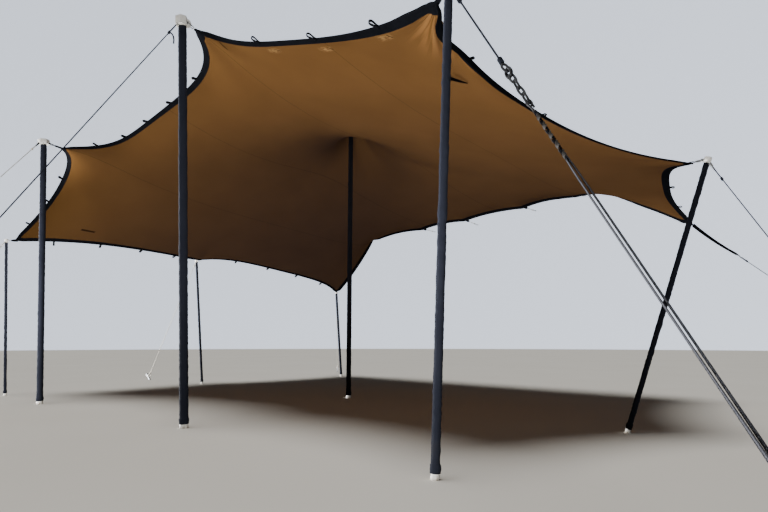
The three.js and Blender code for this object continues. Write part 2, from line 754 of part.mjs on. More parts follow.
const rearEdge = SIDES.find((side) => side.free);
rearEdge.loops.forEach((place, n) => {
  const matrix = frameMatrix(frameAt(place), -BAND_WIDTH / 2);
  const out = new THREE.Vector3().setFromMatrixColumn(matrix, 1);
  const start = new THREE.Vector3().setFromMatrixPosition(matrix)
    .addScaledVector(out, LOOP_REACH + SEAT);
  const thin = REAR_TIE.rope / 2;
  const knot = REAR_TIE.knotWidth / 2;
  const wide = REAR_TIE.hookWidth / 2;
  const long = REAR_TIE.length;
  const hookFrom = long - REAR_TIE.hookLength;
  add(`rear_tie_${n + 1}`, turned([
    [0, 0], [thin, 0], [thin, thin * 2], [knot, thin * 4], [knot, thin * 8], [thin, thin * 10],
    [thin, hookFrom], [wide, hookFrom + wide], [wide, long - wide], [thin, long], [0, long],
  ], start, out, ROPE_SIDES), paleRope());
});

// Centre pole

const up = new THREE.Vector3(0, 0, 1);
const origin = new THREE.Vector3();
const headTop = PEAK_HEIGHT - CLOTH_THICKNESS / 2 - SEAT;
const centreTube = CENTRE_POLE.width / 2 - SLEEVE_THICKNESS - SEAT;
const headFoot = headTop - CENTRE_POLE.headHeight;
add('centre_pole', poleGeometry(origin, up, centreTube, headFoot - SEAT), paintedTube());
const sleeveTop = headFoot - SLEEVE_TOP_GAP;
const sleeveOuter = CENTRE_POLE.width / 2;
add(
  'centre_sleeve',
  sleeveGeometry(origin, up, sleeveOuter, centreTube + SEAT, BARE_FOOT, sleeveTop),
  sleeveCloth(),
);

// Its head is a padded disc with a soft rim, flat where the cloth lies on it
const rim = CENTRE_POLE.headWidth / 2;
const rimRise = CENTRE_POLE.headHeight / 3;
add('centre_head', turned([
  [0, 0], [CENTRE_POLE.socket / 2, 0], [rim, rimRise], [rim, rimRise * 1.5],
  [CENTRE_POLE.headFlat / 2, CENTRE_POLE.headHeight], [0, CENTRE_POLE.headHeight],
], origin.clone().setZ(headFoot), up, 1.5 * POLE_SIDES), webbing());

export default tent;
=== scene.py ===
import math

import bpy
import numpy as np
from mathutils import Matrix, Vector


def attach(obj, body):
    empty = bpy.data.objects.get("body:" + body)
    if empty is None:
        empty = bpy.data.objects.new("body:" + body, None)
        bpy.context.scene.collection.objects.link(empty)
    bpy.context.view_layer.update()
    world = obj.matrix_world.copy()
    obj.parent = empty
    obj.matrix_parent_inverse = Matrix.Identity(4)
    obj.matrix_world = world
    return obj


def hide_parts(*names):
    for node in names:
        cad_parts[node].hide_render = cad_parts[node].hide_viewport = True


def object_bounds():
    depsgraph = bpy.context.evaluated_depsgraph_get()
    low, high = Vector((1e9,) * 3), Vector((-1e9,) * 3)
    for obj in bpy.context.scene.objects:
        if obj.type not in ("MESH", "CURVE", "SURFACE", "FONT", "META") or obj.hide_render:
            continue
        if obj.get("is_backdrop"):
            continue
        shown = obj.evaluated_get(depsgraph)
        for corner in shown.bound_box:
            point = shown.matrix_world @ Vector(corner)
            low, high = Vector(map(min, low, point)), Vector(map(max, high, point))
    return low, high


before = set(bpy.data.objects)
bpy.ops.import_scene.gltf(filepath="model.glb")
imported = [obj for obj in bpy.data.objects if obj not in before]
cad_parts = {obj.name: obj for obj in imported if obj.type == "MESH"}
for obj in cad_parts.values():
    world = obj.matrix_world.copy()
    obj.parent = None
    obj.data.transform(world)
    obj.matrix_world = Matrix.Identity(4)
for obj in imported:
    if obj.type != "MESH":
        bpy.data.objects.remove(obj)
cad_box = [list(corner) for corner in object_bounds()]

# The camera
# It stands low in front of the right front bay, about a metre above the ground, and looks
# left and up across the tent.
EYE = Vector((7.10, -6.93, 0.97))
LEVEL_AIM = Vector((-0.6712, 0.7413, 0))
PITCH = math.radians(8.63)
LENS = 26.25
SENSOR = 36

bpy.ops.object.camera_add(location=EYE)
camera = bpy.context.object
aim = LEVEL_AIM * math.cos(PITCH) + Vector((0, 0, math.sin(PITCH)))
camera.rotation_euler = aim.to_track_quat("-Z", "Y").to_euler()
camera.data.lens = LENS
camera.data.sensor_width = SENSOR
camera.data.clip_end = 400
bpy.context.scene.camera = camera


# The studio floor and light
# A pale floor lies inside a round pale wall. A soft sun stands overhead, low lamps in front
# and on the left light the cloth's underside, and a blue fill stands for the sky's light.
class Signal:
    """An output of a shader node, which adds the Math nodes of the expressions it is in"""

    def __init__(self, finish, socket):
        self.finish = finish
        self.socket = socket

    def math(self, operation, *values):
        return self.finish.node("ShaderNodeMath", {"operation": operation}, *values)

    def __add__(self, other):
        return self.math("ADD", self, other)

    def __sub__(self, other):
        return self.math("SUBTRACT", self, other)

    def __rsub__(self, other):
        return self.math("SUBTRACT", other, self)

    def __mul__(self, other):
        return self.math("MULTIPLY", self, other)

    def __truediv__(self, other):
        return self.math("DIVIDE", self, other)

    def __mod__(self, other):
        return self.math("FLOORED_MODULO", self, other)

    def __lt__(self, other):
        return self.math("LESS_THAN", self, other)

    def __gt__(self, other):
        return self.math("GREATER_THAN", self, other)

    def __abs__(self):
        return self.math("ABSOLUTE", self)

    def wave(self, length):
        """A sine wave of that length, from -1 to 1"""
        return self.math("SINE", self * (2 * math.pi / length))

    __radd__ = __add__
    __rmul__ = __mul__


class Finish:
    """A material whose shader is written as expressions on its signals"""

    def __init__(self, name):
        self.material = bpy.data.materials.new(name)
        self.material.use_nodes = True
        self.tree = self.material.node_tree
        self.tree.nodes.clear()

    def node(self, kind, settings, *values, out=0, **named):
        """Adds a node, makes its settings, fills its sockets and gives one of its outputs"""
        made = self.tree.nodes.new(kind)
        for key, value in settings.items():
            setattr(made, key, value)
        filled = dict(enumerate(values))
        filled.update((key.replace("_", " "), value) for key, value in named.items())
        for key, value in filled.items():
            if isinstance(value, Signal):
                self.tree.links.new(value.socket, made.inputs[key])
            elif value is not None:
                made.inputs[key].default_value = value
        return Signal(self, made.outputs[out]) if made.outputs else None

    def place(self, kind):
        """The three parts of a texture coordinate"""
        point = self.node("ShaderNodeTexCoord", {}, out=kind)
        split = self.node("ShaderNodeSeparateXYZ", {}, point)
        return [Signal(self, part) for part in split.socket.node.outputs]

    def point(self, x, y, z=0.0):
        return self.node("ShaderNodeCombineXYZ", {}, x, y, z)

    def solid_place(self):
        """The place in the piece itself, as one point"""
        return self.point(*self.place("Object"))

    def noise(self, point, scale, detail=2.0):
        return self.node("ShaderNodeTexNoise", {}, Vector=point, Scale=scale, Detail=detail)

    def step(self, value, low, high):
        """Rises smoothly from 0 at low to 1 at high"""
        settings = {"interpolation_type": "SMOOTHSTEP"}
        return self.node("ShaderNodeMapRange", settings, value, low, high)

    def mix(self, share, low, high):
        """From one colour to another"""
        settings = {"data_type": "RGBA"}
        unused = [None] * 5
        return self.node("ShaderNodeMix", settings, share, *unused, low, high, out=2)

    def close(self, color, roughness, height=None, relief=0.001, **fixed):
        """Ends the material in its shader, with a relief that is that many metres deep"""
        normal = None
        if height is not None:
            normal = self.node("ShaderNodeBump", {}, Distance=relief, Height=height)
        shader = self.node(
            "ShaderNodeBsdfPrincipled", {},
            Base_Color=color, Roughness=roughness, Normal=normal, **fixed,
        )
        self.node("ShaderNodeOutputMaterial", {}, shader)
        return self.material


def paint(code):
    """The linear colour of a hex code"""
    shares = [int(code[k : k + 2], 16) / 255 for k in (0, 2, 4)]
    return [*(s / 12.92 if s < 0.04 else ((s + 0.055) / 1.055) ** 2.4 for s in shares), 1.0]


def added(primitive, **settings):
    """Adds a primitive, with nothing else selected"""
    bpy.ops.object.select_all(action="DESELECT")
    primitive(**settings)
    return bpy.context.object


def area_light(facts, receivers):
    """A square lamp that the camera doesn't see, for the pieces of one collection"""
    bpy.ops.object.light_add(type="AREA", location=facts["at"])
    light = bpy.context.object
    light.data.shape = "RECTANGLE"
    light.data.size, light.data.size_y = facts["size"]
    light.data.energy = facts["power"]
    light.visible_camera = False
    light.light_linking.receiver_collection = receivers
    return light


def leave_unlit(piece):
    """Keeps the lamps' light off a piece"""
    unlit.objects.link(piece)
    unlit.collection_objects[-1].light_linking.link_state = "EXCLUDE"


FLOOR_SIZE = 160
BACKDROP = {"radius": 62, "height": 60, "color": "dfe8f8", "glow": 1.1}
SKY = {"color": "e4eaf2", "strength": 0.06}
SUN = {"from": (0.0, -0.15, 1.0), "spread": 25, "power": 2.3}
LAMPS = [
    {"at": (-13.0, -7.0, 1.5), "aim": (0, -2, 5), "size": (4, 2), "power": 8700},
    {"at": (-2.5, -6.0, 0.4), "aim": (-2.5, -3, 3.8), "size": (3, 1), "power": 275},
    {"at": (5.0, -6.0, 0.4), "aim": (4, -2, 3.8), "size": (3, 1), "power": 150},
]
FILL = {"at": (-0.6, 0, 0.3), "size": (12, 9), "power": 430, "color": (0.04, 0.15, 1.0)}

floor = added(bpy.ops.mesh.primitive_plane_add, size=FLOOR_SIZE)
floor.name = "studio_floor"
pale = Finish("pale_floor")
color = pale.mix(pale.noise(pale.solid_place(), 0.35), paint("dad5ca"), paint("e3dfd6"))
floor.data.materials.append(pale.close(color, 0.9))
floor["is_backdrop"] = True

# The backdrop is a round wall, which glows evenly and lights nothing
backdrop = added(
    bpy.ops.mesh.primitive_cylinder_add, vertices=180, radius=BACKDROP["radius"],
    depth=BACKDROP["height"], end_fill_type="NOTHING", location=(0, 0, BACKDROP["height"] / 2),
)
backdrop.name = "studio_backdrop"
backdrop.visible_diffuse = backdrop.visible_glossy = backdrop.visible_shadow = False
lit = Finish("pale_backdrop")
glow = paint(BACKDROP["color"])
backdrop.data.materials.append(
    lit.close(glow, 1.0, Emission_Color=glow, Emission_Strength=BACKDROP["glow"])
)
backdrop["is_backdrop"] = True

studio = bpy.data.worlds.new("studio")
bpy.context.scene.world = studio
studio.use_nodes = True
sky = studio.node_tree.nodes["Background"]
sky.inputs["Color"].default_value = paint(SKY["color"])
sky.inputs["Strength"].default_value = SKY["strength"]

bpy.ops.object.light_add(type="SUN")
sun = bpy.context.object
sun.rotation_euler = (-Vector(SUN["from"])).to_track_quat("-Z", "Y").to_euler()
sun.data.angle = math.radians(SUN["spread"])
sun.data.energy = SUN["power"]

# The lamps light the tent and not the floor, so that no pool of light lies in front of it
unlit = bpy.data.collections.new("not_lit_by_lamps")
leave_unlit(floor)
for facts in LAMPS:
    lamp = area_light(facts, unlit)
    towards = Vector(facts["aim"]) - Vector(facts["at"])
    lamp.rotation_euler = towards.to_track_quat("-Z", "Y").to_euler()

# A blue fill from below stands for the sky's light in the shade, and reaches only the cloth
filled = bpy.data.collections.new("lit_by_fill")
fill = area_light(FILL, filled)
fill.rotation_euler = (math.pi, 0, 0)
fill.data.color = FILL["color"]


# The cloth
# One sheet of elastic knit, sewn from five strips that run from front to back. Guys draw
# its edge out over the poles into long ears, and the centre pole lifts its middle.
TIPS = {
    "front_left": (-4.818, -3.948, 2.810),
    "front_inner_left": (-2.974, -3.882, 4.173),
    "front_inner_right": (1.000, -3.706, 4.814),
    "front_right": (4.655, -3.600, 3.637),
    "right_middle": (5.684, -0.600, 2.810),
    "rear_right": (4.786, 3.086, 2.879),
    "rear_left": (-4.675, 4.025, 2.359),
    "left_middle": (-4.807, -0.200, 2.846),
}
# The tied stretch of the rear edge, from its first tie to the free corner
REAR_LINE = [
    (-3.03, 3.78, 3.64), (-1.87, 3.69, 3.68), (-0.42, 3.57, 3.70), (0.87, 3.47, 3.72),
    (2.38, 3.35, 3.74), (3.30, 3.28, 3.70), (4.10, 3.22, 3.30), TIPS["rear_right"],
]
# How far each stretch of an edge is drawn in and up at its middle, how flat it runs, and how
# it leans. The rear edge is tied from its second stretch on.
SLACK = {
    "front": [(0.443, 0.460, 2.2, 0.81), (0.766, 0.080, 4.4, 0.81), (0.462, -0.040, 3.1, 0.67)],
    "right": [(0.300, -0.197, 2.2, 0.80), (0.284, 0.298, 3.28, 1.33)],
    "left": [(-0.380, 0.066, 1.8, 0.7), (-0.421, 0.129, 4.0, 0.94)],
    "rear": [(-0.060, -0.150, 2.2, 1.2)],
}
FLAT_WIDTH, FLAT_DEPTH = 10.2, 7.9
# The coarse net's cells across and from front to rear, the places of the tips in it, and the
# lines of the fine net between them
COLUMNS, ROWS, STRIPS = 35, 26, 5
STOPS = {
    "front": (0, 7, 21, COLUMNS), "right": (0, 13, ROWS), "left": (0, 13, ROWS),
    "rear": (0, 7, COLUMNS),
}
FRONT_LINES, SIDE_LINES = (48, 84, 84), (78, 78)
CROWDING = 0.6
COARSE_NET = {"sweeps": 300, "past_the_mean": 1.85}
FINE_NET = {"sweeps": 260, "past_the_mean": 1.9}
# The pole's head holds the cell round this place of the coarse net
HEAD_CELL = (COLUMNS / 2, ROWS / 2 + 1.5)
HEAD_RADIUS = 0.158
PEAK_HEIGHT = 4.9
CLOTH_THICKNESS = 0.003


def softened(share):
    """Eases a share in and out"""
    return share * share * (3 - 2 * share)


def ramp(values, low, high):
    """Rises evenly from 0 at low to 1 at high"""
    return np.clip((values - low) / (high - low), 0, 1)


def drawn_edge(start, end, draw_in, rise, flatness, lean):
    """The edge between two tips, as points at given shares of its way"""
    start, end = np.array(start), np.array(end)
    chord = end - start
    left = np.array((-chord[1], chord[0], 0)) / math.hypot(chord[0], chord[1])

    def at(share):
        swell = 1 - abs(2 * share**lean - 1) ** flatness
        pull = draw_in * left + np.array((0, 0, rise))
        return start + share[:, None] * chord + swell[:, None] * pull

    return at


def smooth_line(points):
    """A smooth curve through points, as points at given shares of its length"""
    points = np.array(points, float)
    p = np.array([2 * points[0] - points[1], *points, 2 * points[-1] - points[-2]])
    gaps = np.sqrt(np.linalg.norm(np.diff(p, axis=0), axis=1))
    share = np.linspace(0, 1, 60)[:, None]
    runs = []
    for k in range(1, len(p) - 2):
        a, b, c = gaps[k - 1 : k + 2]
        step = (p[k + 1] - p[k]) / b
        leave = ((p[k] - p[k - 1]) / a - (p[k + 1] - p[k - 1]) / (a + b) + step) * b
        arrive = (step - (p[k + 2] - p[k]) / (b + c) + (p[k + 2] - p[k + 1]) / c) * b
        bend = share * (1 - share) ** 2 * leave - share**2 * (1 - share) * arrive
        runs.append(p[k] + softened(share) * (p[k + 1] - p[k]) + bend)
    line = np.concatenate(runs)
    length = np.concatenate([[0], np.cumsum(np.linalg.norm(np.diff(line, axis=0), axis=1))])

    def at(share):
        reach = np.asarray(share) * length[-1]
        return np.stack([np.interp(reach, length, line[:, axis]) for axis in range(3)], -1)

    return at


def smooth_path(points, count):
    """That many points along a smooth curve through points"""
    return smooth_line(points)(np.linspace(0, 1, count))


corners = {
    "front": [TIPS[f"front_{place}"] for place in ("left", "inner_left", "inner_right", "right")],
    "right": [TIPS[place] for place in ("front_right", "right_middle", "rear_right")],
    "left": [TIPS[place] for place in ("front_left", "left_middle", "rear_left")],
    "rear": [TIPS["rear_left"], REAR_LINE[0]],
}
edges = {
    side: [drawn_edge(*ends, *slack) for *ends, slack in zip(points, points[1:], SLACK[side])]
    for side, points in corners.items()
}
edges["rear"].append(smooth_line(REAR_LINE))


def crowded(stops, counts):
    """Places of the net's lines, which lie closer together near each tip"""
    places = [np.zeros(1)]
    for first, last, count in zip(stops, stops[1:], counts):
        share = np.arange(1, count + 1) / count
        share -= CROWDING * np.sin(2 * np.pi * share) / (2 * np.pi)
        places.append(first + (last - first) * share)
    return np.concatenate(places)


def whole_edge(places, side):
    """The points of a whole side at given places of the net"""
    line = np.zeros((len(places), 3))
    for first, last, edge in zip(STOPS[side], STOPS[side][1:], edges[side]):
        inside = (places >= first) & (places <= last)
        line[inside] = edge(np.clip((places[inside] - first) / (last - first), 0, 1))
    return line


def settled_net(u, v, start, sweeps, past_the_mean):
    """The cloth at rest: a net of equal pulls between its edge and the pole's head. It starts
    from a coarser net, or from a blend of its edges, and each sweep brings it nearer."""
    front, rear = whole_edge(u, "front"), whole_edge(u, "rear")
    left, right = whole_edge(v, "left"), whole_edge(v, "right")
    if start is None:
        across, deep = (u / COLUMNS)[:, None, None], (v / ROWS)[None, :, None]
        net = (1 - deep) * front[:, None] + deep * rear[:, None]
        net = net + (1 - across) * left[None] + across * right[None]
        net = net - (1 - across) * ((1 - deep) * front[0] + deep * rear[0])
        net = net - across * ((1 - deep) * front[-1] + deep * rear[-1])
    else:
        net = start
        net[:, 0], net[:, -1], net[0], net[-1] = front, rear, left, right
    a = u[:, None] - HEAD_CELL[0]
    b = v[None, :] - HEAD_CELL[1]
    half_cell = 0.501
    held = (abs(a) < half_cell) & (abs(b) < half_cell)
    a, b = 2 * a + 0 * b, 2 * b + 0 * a
    head = np.stack([a * np.sqrt(1 - b**2 / 2, where=held, out=np.ones_like(a)),
                     b * np.sqrt(1 - a**2 / 2, where=held, out=np.ones_like(a))], -1)
    net[held, :2] = head[held] * HEAD_RADIUS
    net[held, 2] = PEAK_HEIGHT
    du, dv = np.diff(u), np.diff(v)
    wide, long = (du[:-1] + du[1:]) / 2, (dv[:-1] + dv[1:]) / 2
    west, east = (long / du[:-1, None])[..., None], (long / du[1:, None])[..., None]
    south, north = (wide[:, None] / dv[:-1])[..., None], (wide[:, None] / dv[1:])[..., None]
    whole = west + east + south + north
    i, j = np.meshgrid(np.arange(1, len(u) - 1), np.arange(1, len(v) - 1), indexing="ij")
    free = ~held[1:-1, 1:-1]
    inner = net[1:-1, 1:-1]
    for sweep in range(2 * sweeps):
        mean = west * net[:-2, 1:-1] + east * net[2:, 1:-1]
        mean += south * net[1:-1, :-2] + north * net[1:-1, 2:]
        turn = free & ((i + j + sweep) % 2 == 0)
        inner[turn] += past_the_mean * (mean / whole - inner)[turn]
    return net


u, v = np.arange(COLUMNS + 1.0), np.arange(ROWS + 1.0)
coarse = settled_net(u, v, None, **COARSE_NET)
fine_u, fine_v = crowded(STOPS["front"], FRONT_LINES), crowded(STOPS["left"], SIDE_LINES)
i, j = np.minimum(fine_u.astype(int), COLUMNS - 1), np.minimum(fine_v.astype(int), ROWS - 1)
s, t = (fine_u - i)[:, None, None], (fine_v - j)[None, :, None]
i, j = i[:, None], j[None, :]
start = (1 - s) * ((1 - t) * coarse[i, j] + t * coarse[i, j + 1])
start = start + s * ((1 - t) * coarse[i + 1, j] + t * coarse[i + 1, j + 1])
net = settled_net(fine_u, fine_v, start, **FINE_NET)


def unit(vectors):
    """The vectors at length 1"""
    return vectors / np.linalg.norm(vectors, axis=-1, keepdims=True)


def net_normals(net):
    """The net's upward normals"""
    return unit(np.cross(np.gradient(net, axis=0), np.gradient(net, axis=1)))


# Folds that fan out from a tip: how high they stand, how far from the tip, and how many.
# They fade into the stiff tip and the band. Long creases run on from them, and the whole
# cloth dips and swells a little.
FOLDS = {
    "front_left": (0.004, 0.20, 3),
    "front_inner_left": (0.005, 0.30, 3),
    "front_inner_right": (0.007, 0.28, 4),
    "front_right": (0.030, 0.27, 5),
    "right_middle": (0.007, 0.28, 3),
    "rear_right": (0.007, 0.30, 4),
    "rear_left": (0.006, 0.30, 3),
    "left_middle": (0.006, 0.28, 3),
}
STIFF_TIP = (0.054, 0.234)
BAND_LINES = 8
AROUND_HEAD = (0.35, 0.75)
CREASE = {"height": 0.004, "fade": 0.9, "turns": 2.5}
SWELL_LENGTH = 1.2
SWELLS = [(0.0022, 0.9, 0.35, 1.1), (0.0016, -0.6, 1.4, 2.7), (0.0010, 2.3, 1.9, 0.4)]
# Places of the rear ties, as shares of the rear edge. Between them it springs up and in.
TIE_SHARES = (0.224, 0.376, 0.508, 0.66, 0.776)
SCALLOP = {"in": 0.030, "up": 0.042, "reach": 0.35}
# In front of the pole the cloth runs nearly level before it turns up over the pad
LIFT = {"at": (0.46, -0.46), "reach": 0.55, "height": 0.095, "off_pad": (0.17, 0.37)}
share = fine_u / COLUMNS
spring = np.zeros(len(share))
for first, last in zip(TIE_SHARES, TIE_SHARES[1:]):
    between = (share > first) & (share < last)
    spring[between] = np.sin(np.pi * (share[between] - first) / (last - first)) ** 0.8
from_rear = (1 - fine_v / ROWS) * FLAT_DEPTH
spring = spring[:, None] * np.exp(-((from_rear / SCALLOP["reach"]) ** 2))
net += spring[..., None] * np.array((0, -SCALLOP["in"], SCALLOP["up"]))
from_pole = np.linalg.norm(net[..., :2], axis=2)
clear_of_head = ramp(from_pole, *AROUND_HEAD)
aside = np.linalg.norm(net[..., :2] - np.array(LIFT["at"]), axis=2) / LIFT["reach"]
net[..., 2] += LIFT["height"] * np.exp(-(aside**2)) * ramp(from_pole, *LIFT["off_pad"])

middle = np.array((0, 0, PEAK_HEIGHT))
normals = net_normals(net)
rise = np.zeros(net.shape[:2])
off_band = ramp(np.arange(rise.shape[1]), 0, BAND_LINES)
for name, (high, reach, count) in FOLDS.items():
    tip = np.array(TIPS[name])
    nearest = np.unravel_index(np.linalg.norm(net - tip, axis=2).argmin(), rise.shape)
    top = normals[nearest]
    inwards = middle - tip
    inwards = unit(inwards - top * (inwards @ top))
    aside = np.cross(top, inwards)
    away = net - tip
    distance = np.linalg.norm(away, axis=2)
    angle = np.arctan2(away @ aside, away @ inwards)
    fan = distance / reach * np.exp(1 - distance / reach)
    fan = fan * ramp(distance, *STIFF_TIP) * off_band
    rise += high * fan * np.cos(2 * count * angle + 0.6)
    run = (1 - np.exp(-distance / reach)) * np.exp(-distance / CREASE["fade"])
    rise += CREASE["height"] * run * np.cos(CREASE["turns"] * count * angle + 1.7)
across, deep = (fine_u / COLUMNS * FLAT_WIDTH)[:, None], (fine_v / ROWS * FLAT_DEPTH)[None, :]
inside = np.sin(np.pi * across / FLAT_WIDTH) * np.sin(np.pi * deep / FLAT_DEPTH)
for high, along_u, along_v, turn in SWELLS:
    wave = 2 * np.pi * (along_u * across + along_v * deep) / SWELL_LENGTH
    rise += high * inside * np.sin(wave + turn)
net += normals * (rise * clear_of_head)[..., None]
normals = net_normals(net)


def laid_grid(points, flat):
    """A grid whose corners are laid on an array of points, and its UV map in metres"""
    columns, rows = points.shape[0] - 1, points.shape[1] - 1
    piece = added(
        bpy.ops.mesh.primitive_grid_add, x_subdivisions=columns, y_subdivisions=rows, size=1
    )
    corners = np.empty(len(piece.data.vertices) * 3)
    piece.data.vertices.foreach_get("co", corners)
    corners = corners.reshape(-1, 3)
    i = np.rint((corners[:, 0] + 0.5) * columns).astype(int)
    j = np.rint((corners[:, 1] + 0.5) * rows).astype(int)
    piece.data.vertices.foreach_set("co", points[i, j].ravel())
    of_corner = np.empty(len(piece.data.loops), int)
    piece.data.loops.foreach_get("vertex_index", of_corner)
    piece.data.uv_layers.active.data.foreach_set("uv", flat[i, j][of_corner].ravel())
    piece.data.update()
    return piece


def finished(piece, kind, **settings):
    """Adds a modifier to a piece, sets it and applies it"""
    modifier = piece.modifiers.new(kind.lower(), kind)
    for key, value in settings.items():
        setattr(modifier, key, value)
    bpy.context.view_layer.objects.active = piece
    bpy.ops.object.modifier_apply(modifier=modifier.name)
    return piece


def coated(piece, material):
    """Gives a piece its finish"""
    piece.data.materials.clear()
    piece.data.materials.append(material)
    return piece


def dress(piece, name, material, slot, *nodes):
    """Names a piece, gives it its finish, and hangs it on the tent in place of its nodes"""
    piece.name = piece.data.name = name
    if material:
        coated(piece, material)
    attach(piece, "root")
    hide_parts(*nodes)


# On the underside, in metres of the flat sheet: gathered places beside the front loops,
# which are painted lighter as a painted highlight, and a dark mark and a painted dark line of
# shade along a short dart, each with its half width and half length
PUCKERS = [(7.08, 0.16), (8.06, 0.21), (9.18, 0.14)]
MARK_AND_DART_SHADE = [(0.29, 1.035, 0.026, 0.150), (6.238, 0.115, 0.009, 0.060)]
STRIP_WIDTH = FLAT_WIDTH / STRIPS


def puckered(knit, along, deep):
    """Where the cloth is gathered beside a loop, which is also where its painted highlight goes,
    and short slanted dark ticks beside it
    """
    gathers_and_highlight, ticks = 0, 0
    for at, inward in PUCKERS:
        beside, off = abs(along - at), abs(deep - inward)
        near = (1 - knit.step(beside, 0.050, 0.160)) * (1 - knit.step(off, 0.010, 0.085))
        gathers_and_highlight = near + gathers_and_highlight
        slanted = abs(along - at - 0.080 - (deep - inward) * 0.9)
        ticks = (slanted < 0.009) * (off < 0.032) + ticks
    return gathers_and_highlight, ticks


def marked(knit, along, deep):
    """Where the cloth has a dark mark, and the painted dark line of shade along a short dart"""
    marks_and_dart_shade = 0
    for at, inward, half_wide, half_long in MARK_AND_DART_SHADE:
        wide = 1 - knit.step(abs(along - at), half_wide * 0.6, half_wide)
        marks_and_dart_shade = wide * (1 - knit.step(abs(deep - inward), half_long * 0.8, half_long)) + marks_and_dart_shade
    return marks_and_dart_shade


def fold_streaks_and_highlights(knit, along, deep):
    """Streaks where the cloth is drawn towards the front right tip, painted lighter as highlights
    on its folds
    """
    aside = FLAT_WIDTH - along
    squared = aside * aside + deep * deep
    from_tip = knit.node("ShaderNodeMath", {"operation": "SQRT"}, squared)
    turned = knit.node("ShaderNodeMath", {"operation": "ARCTAN2"}, aside, deep)
    streaks = knit.noise(knit.point(turned * 7.0, from_tip * 0.9), 1.0, 2.0)
    return knit.step(streaks, 0.40, 0.62) * (1 - knit.step(from_tip, 0.25, 0.95))


def knit_finish(name, low, high, lap_color, thread_color, inside):
    """Elastic knit, with the lapped seams between the strips and their stitching, and on its
    inside the gathers, marks and streaks, where the gathers and streaks carry painted
    highlights and the dart a painted dark line of shade"""
    knit = Finish(name)
    along, deep, _ = knit.place("UV")
    spot = knit.point(along, deep)
    seam = abs((along / STRIP_WIDTH + 0.5) % 1 - 0.5) * STRIP_WIDTH
    lap = 1 - knit.step(seam, 0.010, 0.014)
    threads = (abs(seam - 0.007) < 0.0012) * ((deep % 0.008) < 0.0055)
    cloud = knit.noise(spot, 1.3, 4.0)
    fleck = knit.noise(spot, 60.0, 3.0)
    color = knit.mix(cloud * 0.7 + fleck * 0.3, paint(low), paint(high))
    color = knit.mix(lap * 0.45, color, paint(lap_color))
    color = knit.mix(threads * 0.6, color, paint(thread_color))
    height = along.wave(0.0022) * deep.wave(0.0016) * 0.25 + lap + threads * 0.4
    if inside:
        gathers_and_highlight, ticks = puckered(knit, along, deep)
        marks_and_dart_shade = marked(knit, along, deep)
        drawn = fold_streaks_and_highlights(knit, along, deep)
        crumple = knit.noise(knit.point(along * 0.6, deep * 1.5), 26.0, 2.0)
        # Painted highlight: the streaks towards the front right tip are painted lighter, and they
        # also bump the surface
        color = knit.mix(drawn * 0.55, color, paint("7b5730"))
        # Painted highlight: the gathered places are painted lighter where they crumple
        color = knit.mix(gathers_and_highlight * knit.step(crumple, 0.38, 0.62) * 0.6, color, paint("7e6138"))
        # One dark colour for the ticks, the dark mark and the dart's painted shade
        color = knit.mix(ticks * 0.9 + marks_and_dart_shade * 0.85, color, paint("150e07"))
        height = height + drawn * 14.0 + gathers_and_highlight * crumple * 9.0
    return knit.close(color, 0.85 + fleck * 0.1, height, 0.0006, Specular_IOR_Level=0.0)


knit_outside = knit_finish("sand_knit_outside", "7a6245", "927a59", "68523a", "a48c68", False)
# The underside is the same knit in darker, browner colours, which paint the shade under the tent
underside_knit_shaded = knit_finish("painted_shade_underside_knit", "432d15", "533a1d", "2c1e0d", "5c4422", True)

flat = np.stack(np.broadcast_arrays(across, deep), -1)
cloth = laid_grid(net, flat)
for material in (knit_outside, underside_knit_shaded):
    cloth.data.materials.append(material)
finished(cloth, "SOLIDIFY", thickness=CLOTH_THICKNESS, offset=0, material_offset=1)
dress(cloth, "cloth", None, "cloth", *(f"cloth_strip_{n + 1}" for n in range(STRIPS)))
bpy.ops.object.shade_smooth()
filled.objects.link(cloth)


# The edge band
# Black webbing is folded over the cloth's edge and sewn down. It is cut at each tip, where
# the ends lap into a stiff corner, and loops of the same webbing stand out along it.
BAND_THICKNESS = 0.009
LAP_LIFT = 0.0006
UNDER_BAND = 16
# Each stretch of band: rows of the share of its way, its width outside and inside the
# cloth's edge, and how far its outer side hangs down, in millimetres
BAND_ROWS = {
    "front": [
        [(0, 10, 70, 0), (0.06, 50, 42, 0), (0.94, 50, 42, 0), (1, 10, 70, 0)],
        [(0, 10, 70, 0), (0.04, 36, 30, 0), (0.35, 38, 32, 0), (0.75, 44, 44, 0),
         (0.955, 50, 68, 0), (1, 10, 134, 0)],
        [(0, 10, 134, 0), (0.04, 42, 58, 0), (0.1, 42, 52, 0), (0.2, 42, 42, 0), (0.5, 44, 42, 0),
         (0.8, 50, 50, 0), (0.88, 58, 46, 0), (0.925, 52, 36, 0), (0.95, 50, 38, 0),
         (0.975, 38, 76, 0), (1, 12, 120, 0)],
    ],
    "right": [
        [(0, 12, 60, 20), (0.02, 44, 34, 34), (0.045, 66, 26, 48), (0.08, 68, 32, 48),
         (0.12, 68, 46, 46), (0.25, 52, 44, 50),
         (0.42, 50, 44, 24), (0.6, 48, 48, 14), (0.95, 48, 48, 14), (1, 10, 70, 8)],
        [(0, 10, 70, 0), (0.04, 58, 47, 0), (0.96, 55, 45, 0), (1, 10, 60, 0)],
    ],
    "rear": [[(0, 10, 70, 8), (0.015, 42, 34, 38), (0.985, 42, 34, 38), (1, 10, 60, 8)]],
    "left": [
        [(0, 10, 70, 0), (0.04, 40, 32, 0), (0.96, 40, 32, 0), (1, 10, 70, 0)],
        [(0, 10, 70, 0), (0.04, 40, 32, 0), (0.96, 40, 32, 0), (1, 10, 70, 0)],
    ],
}
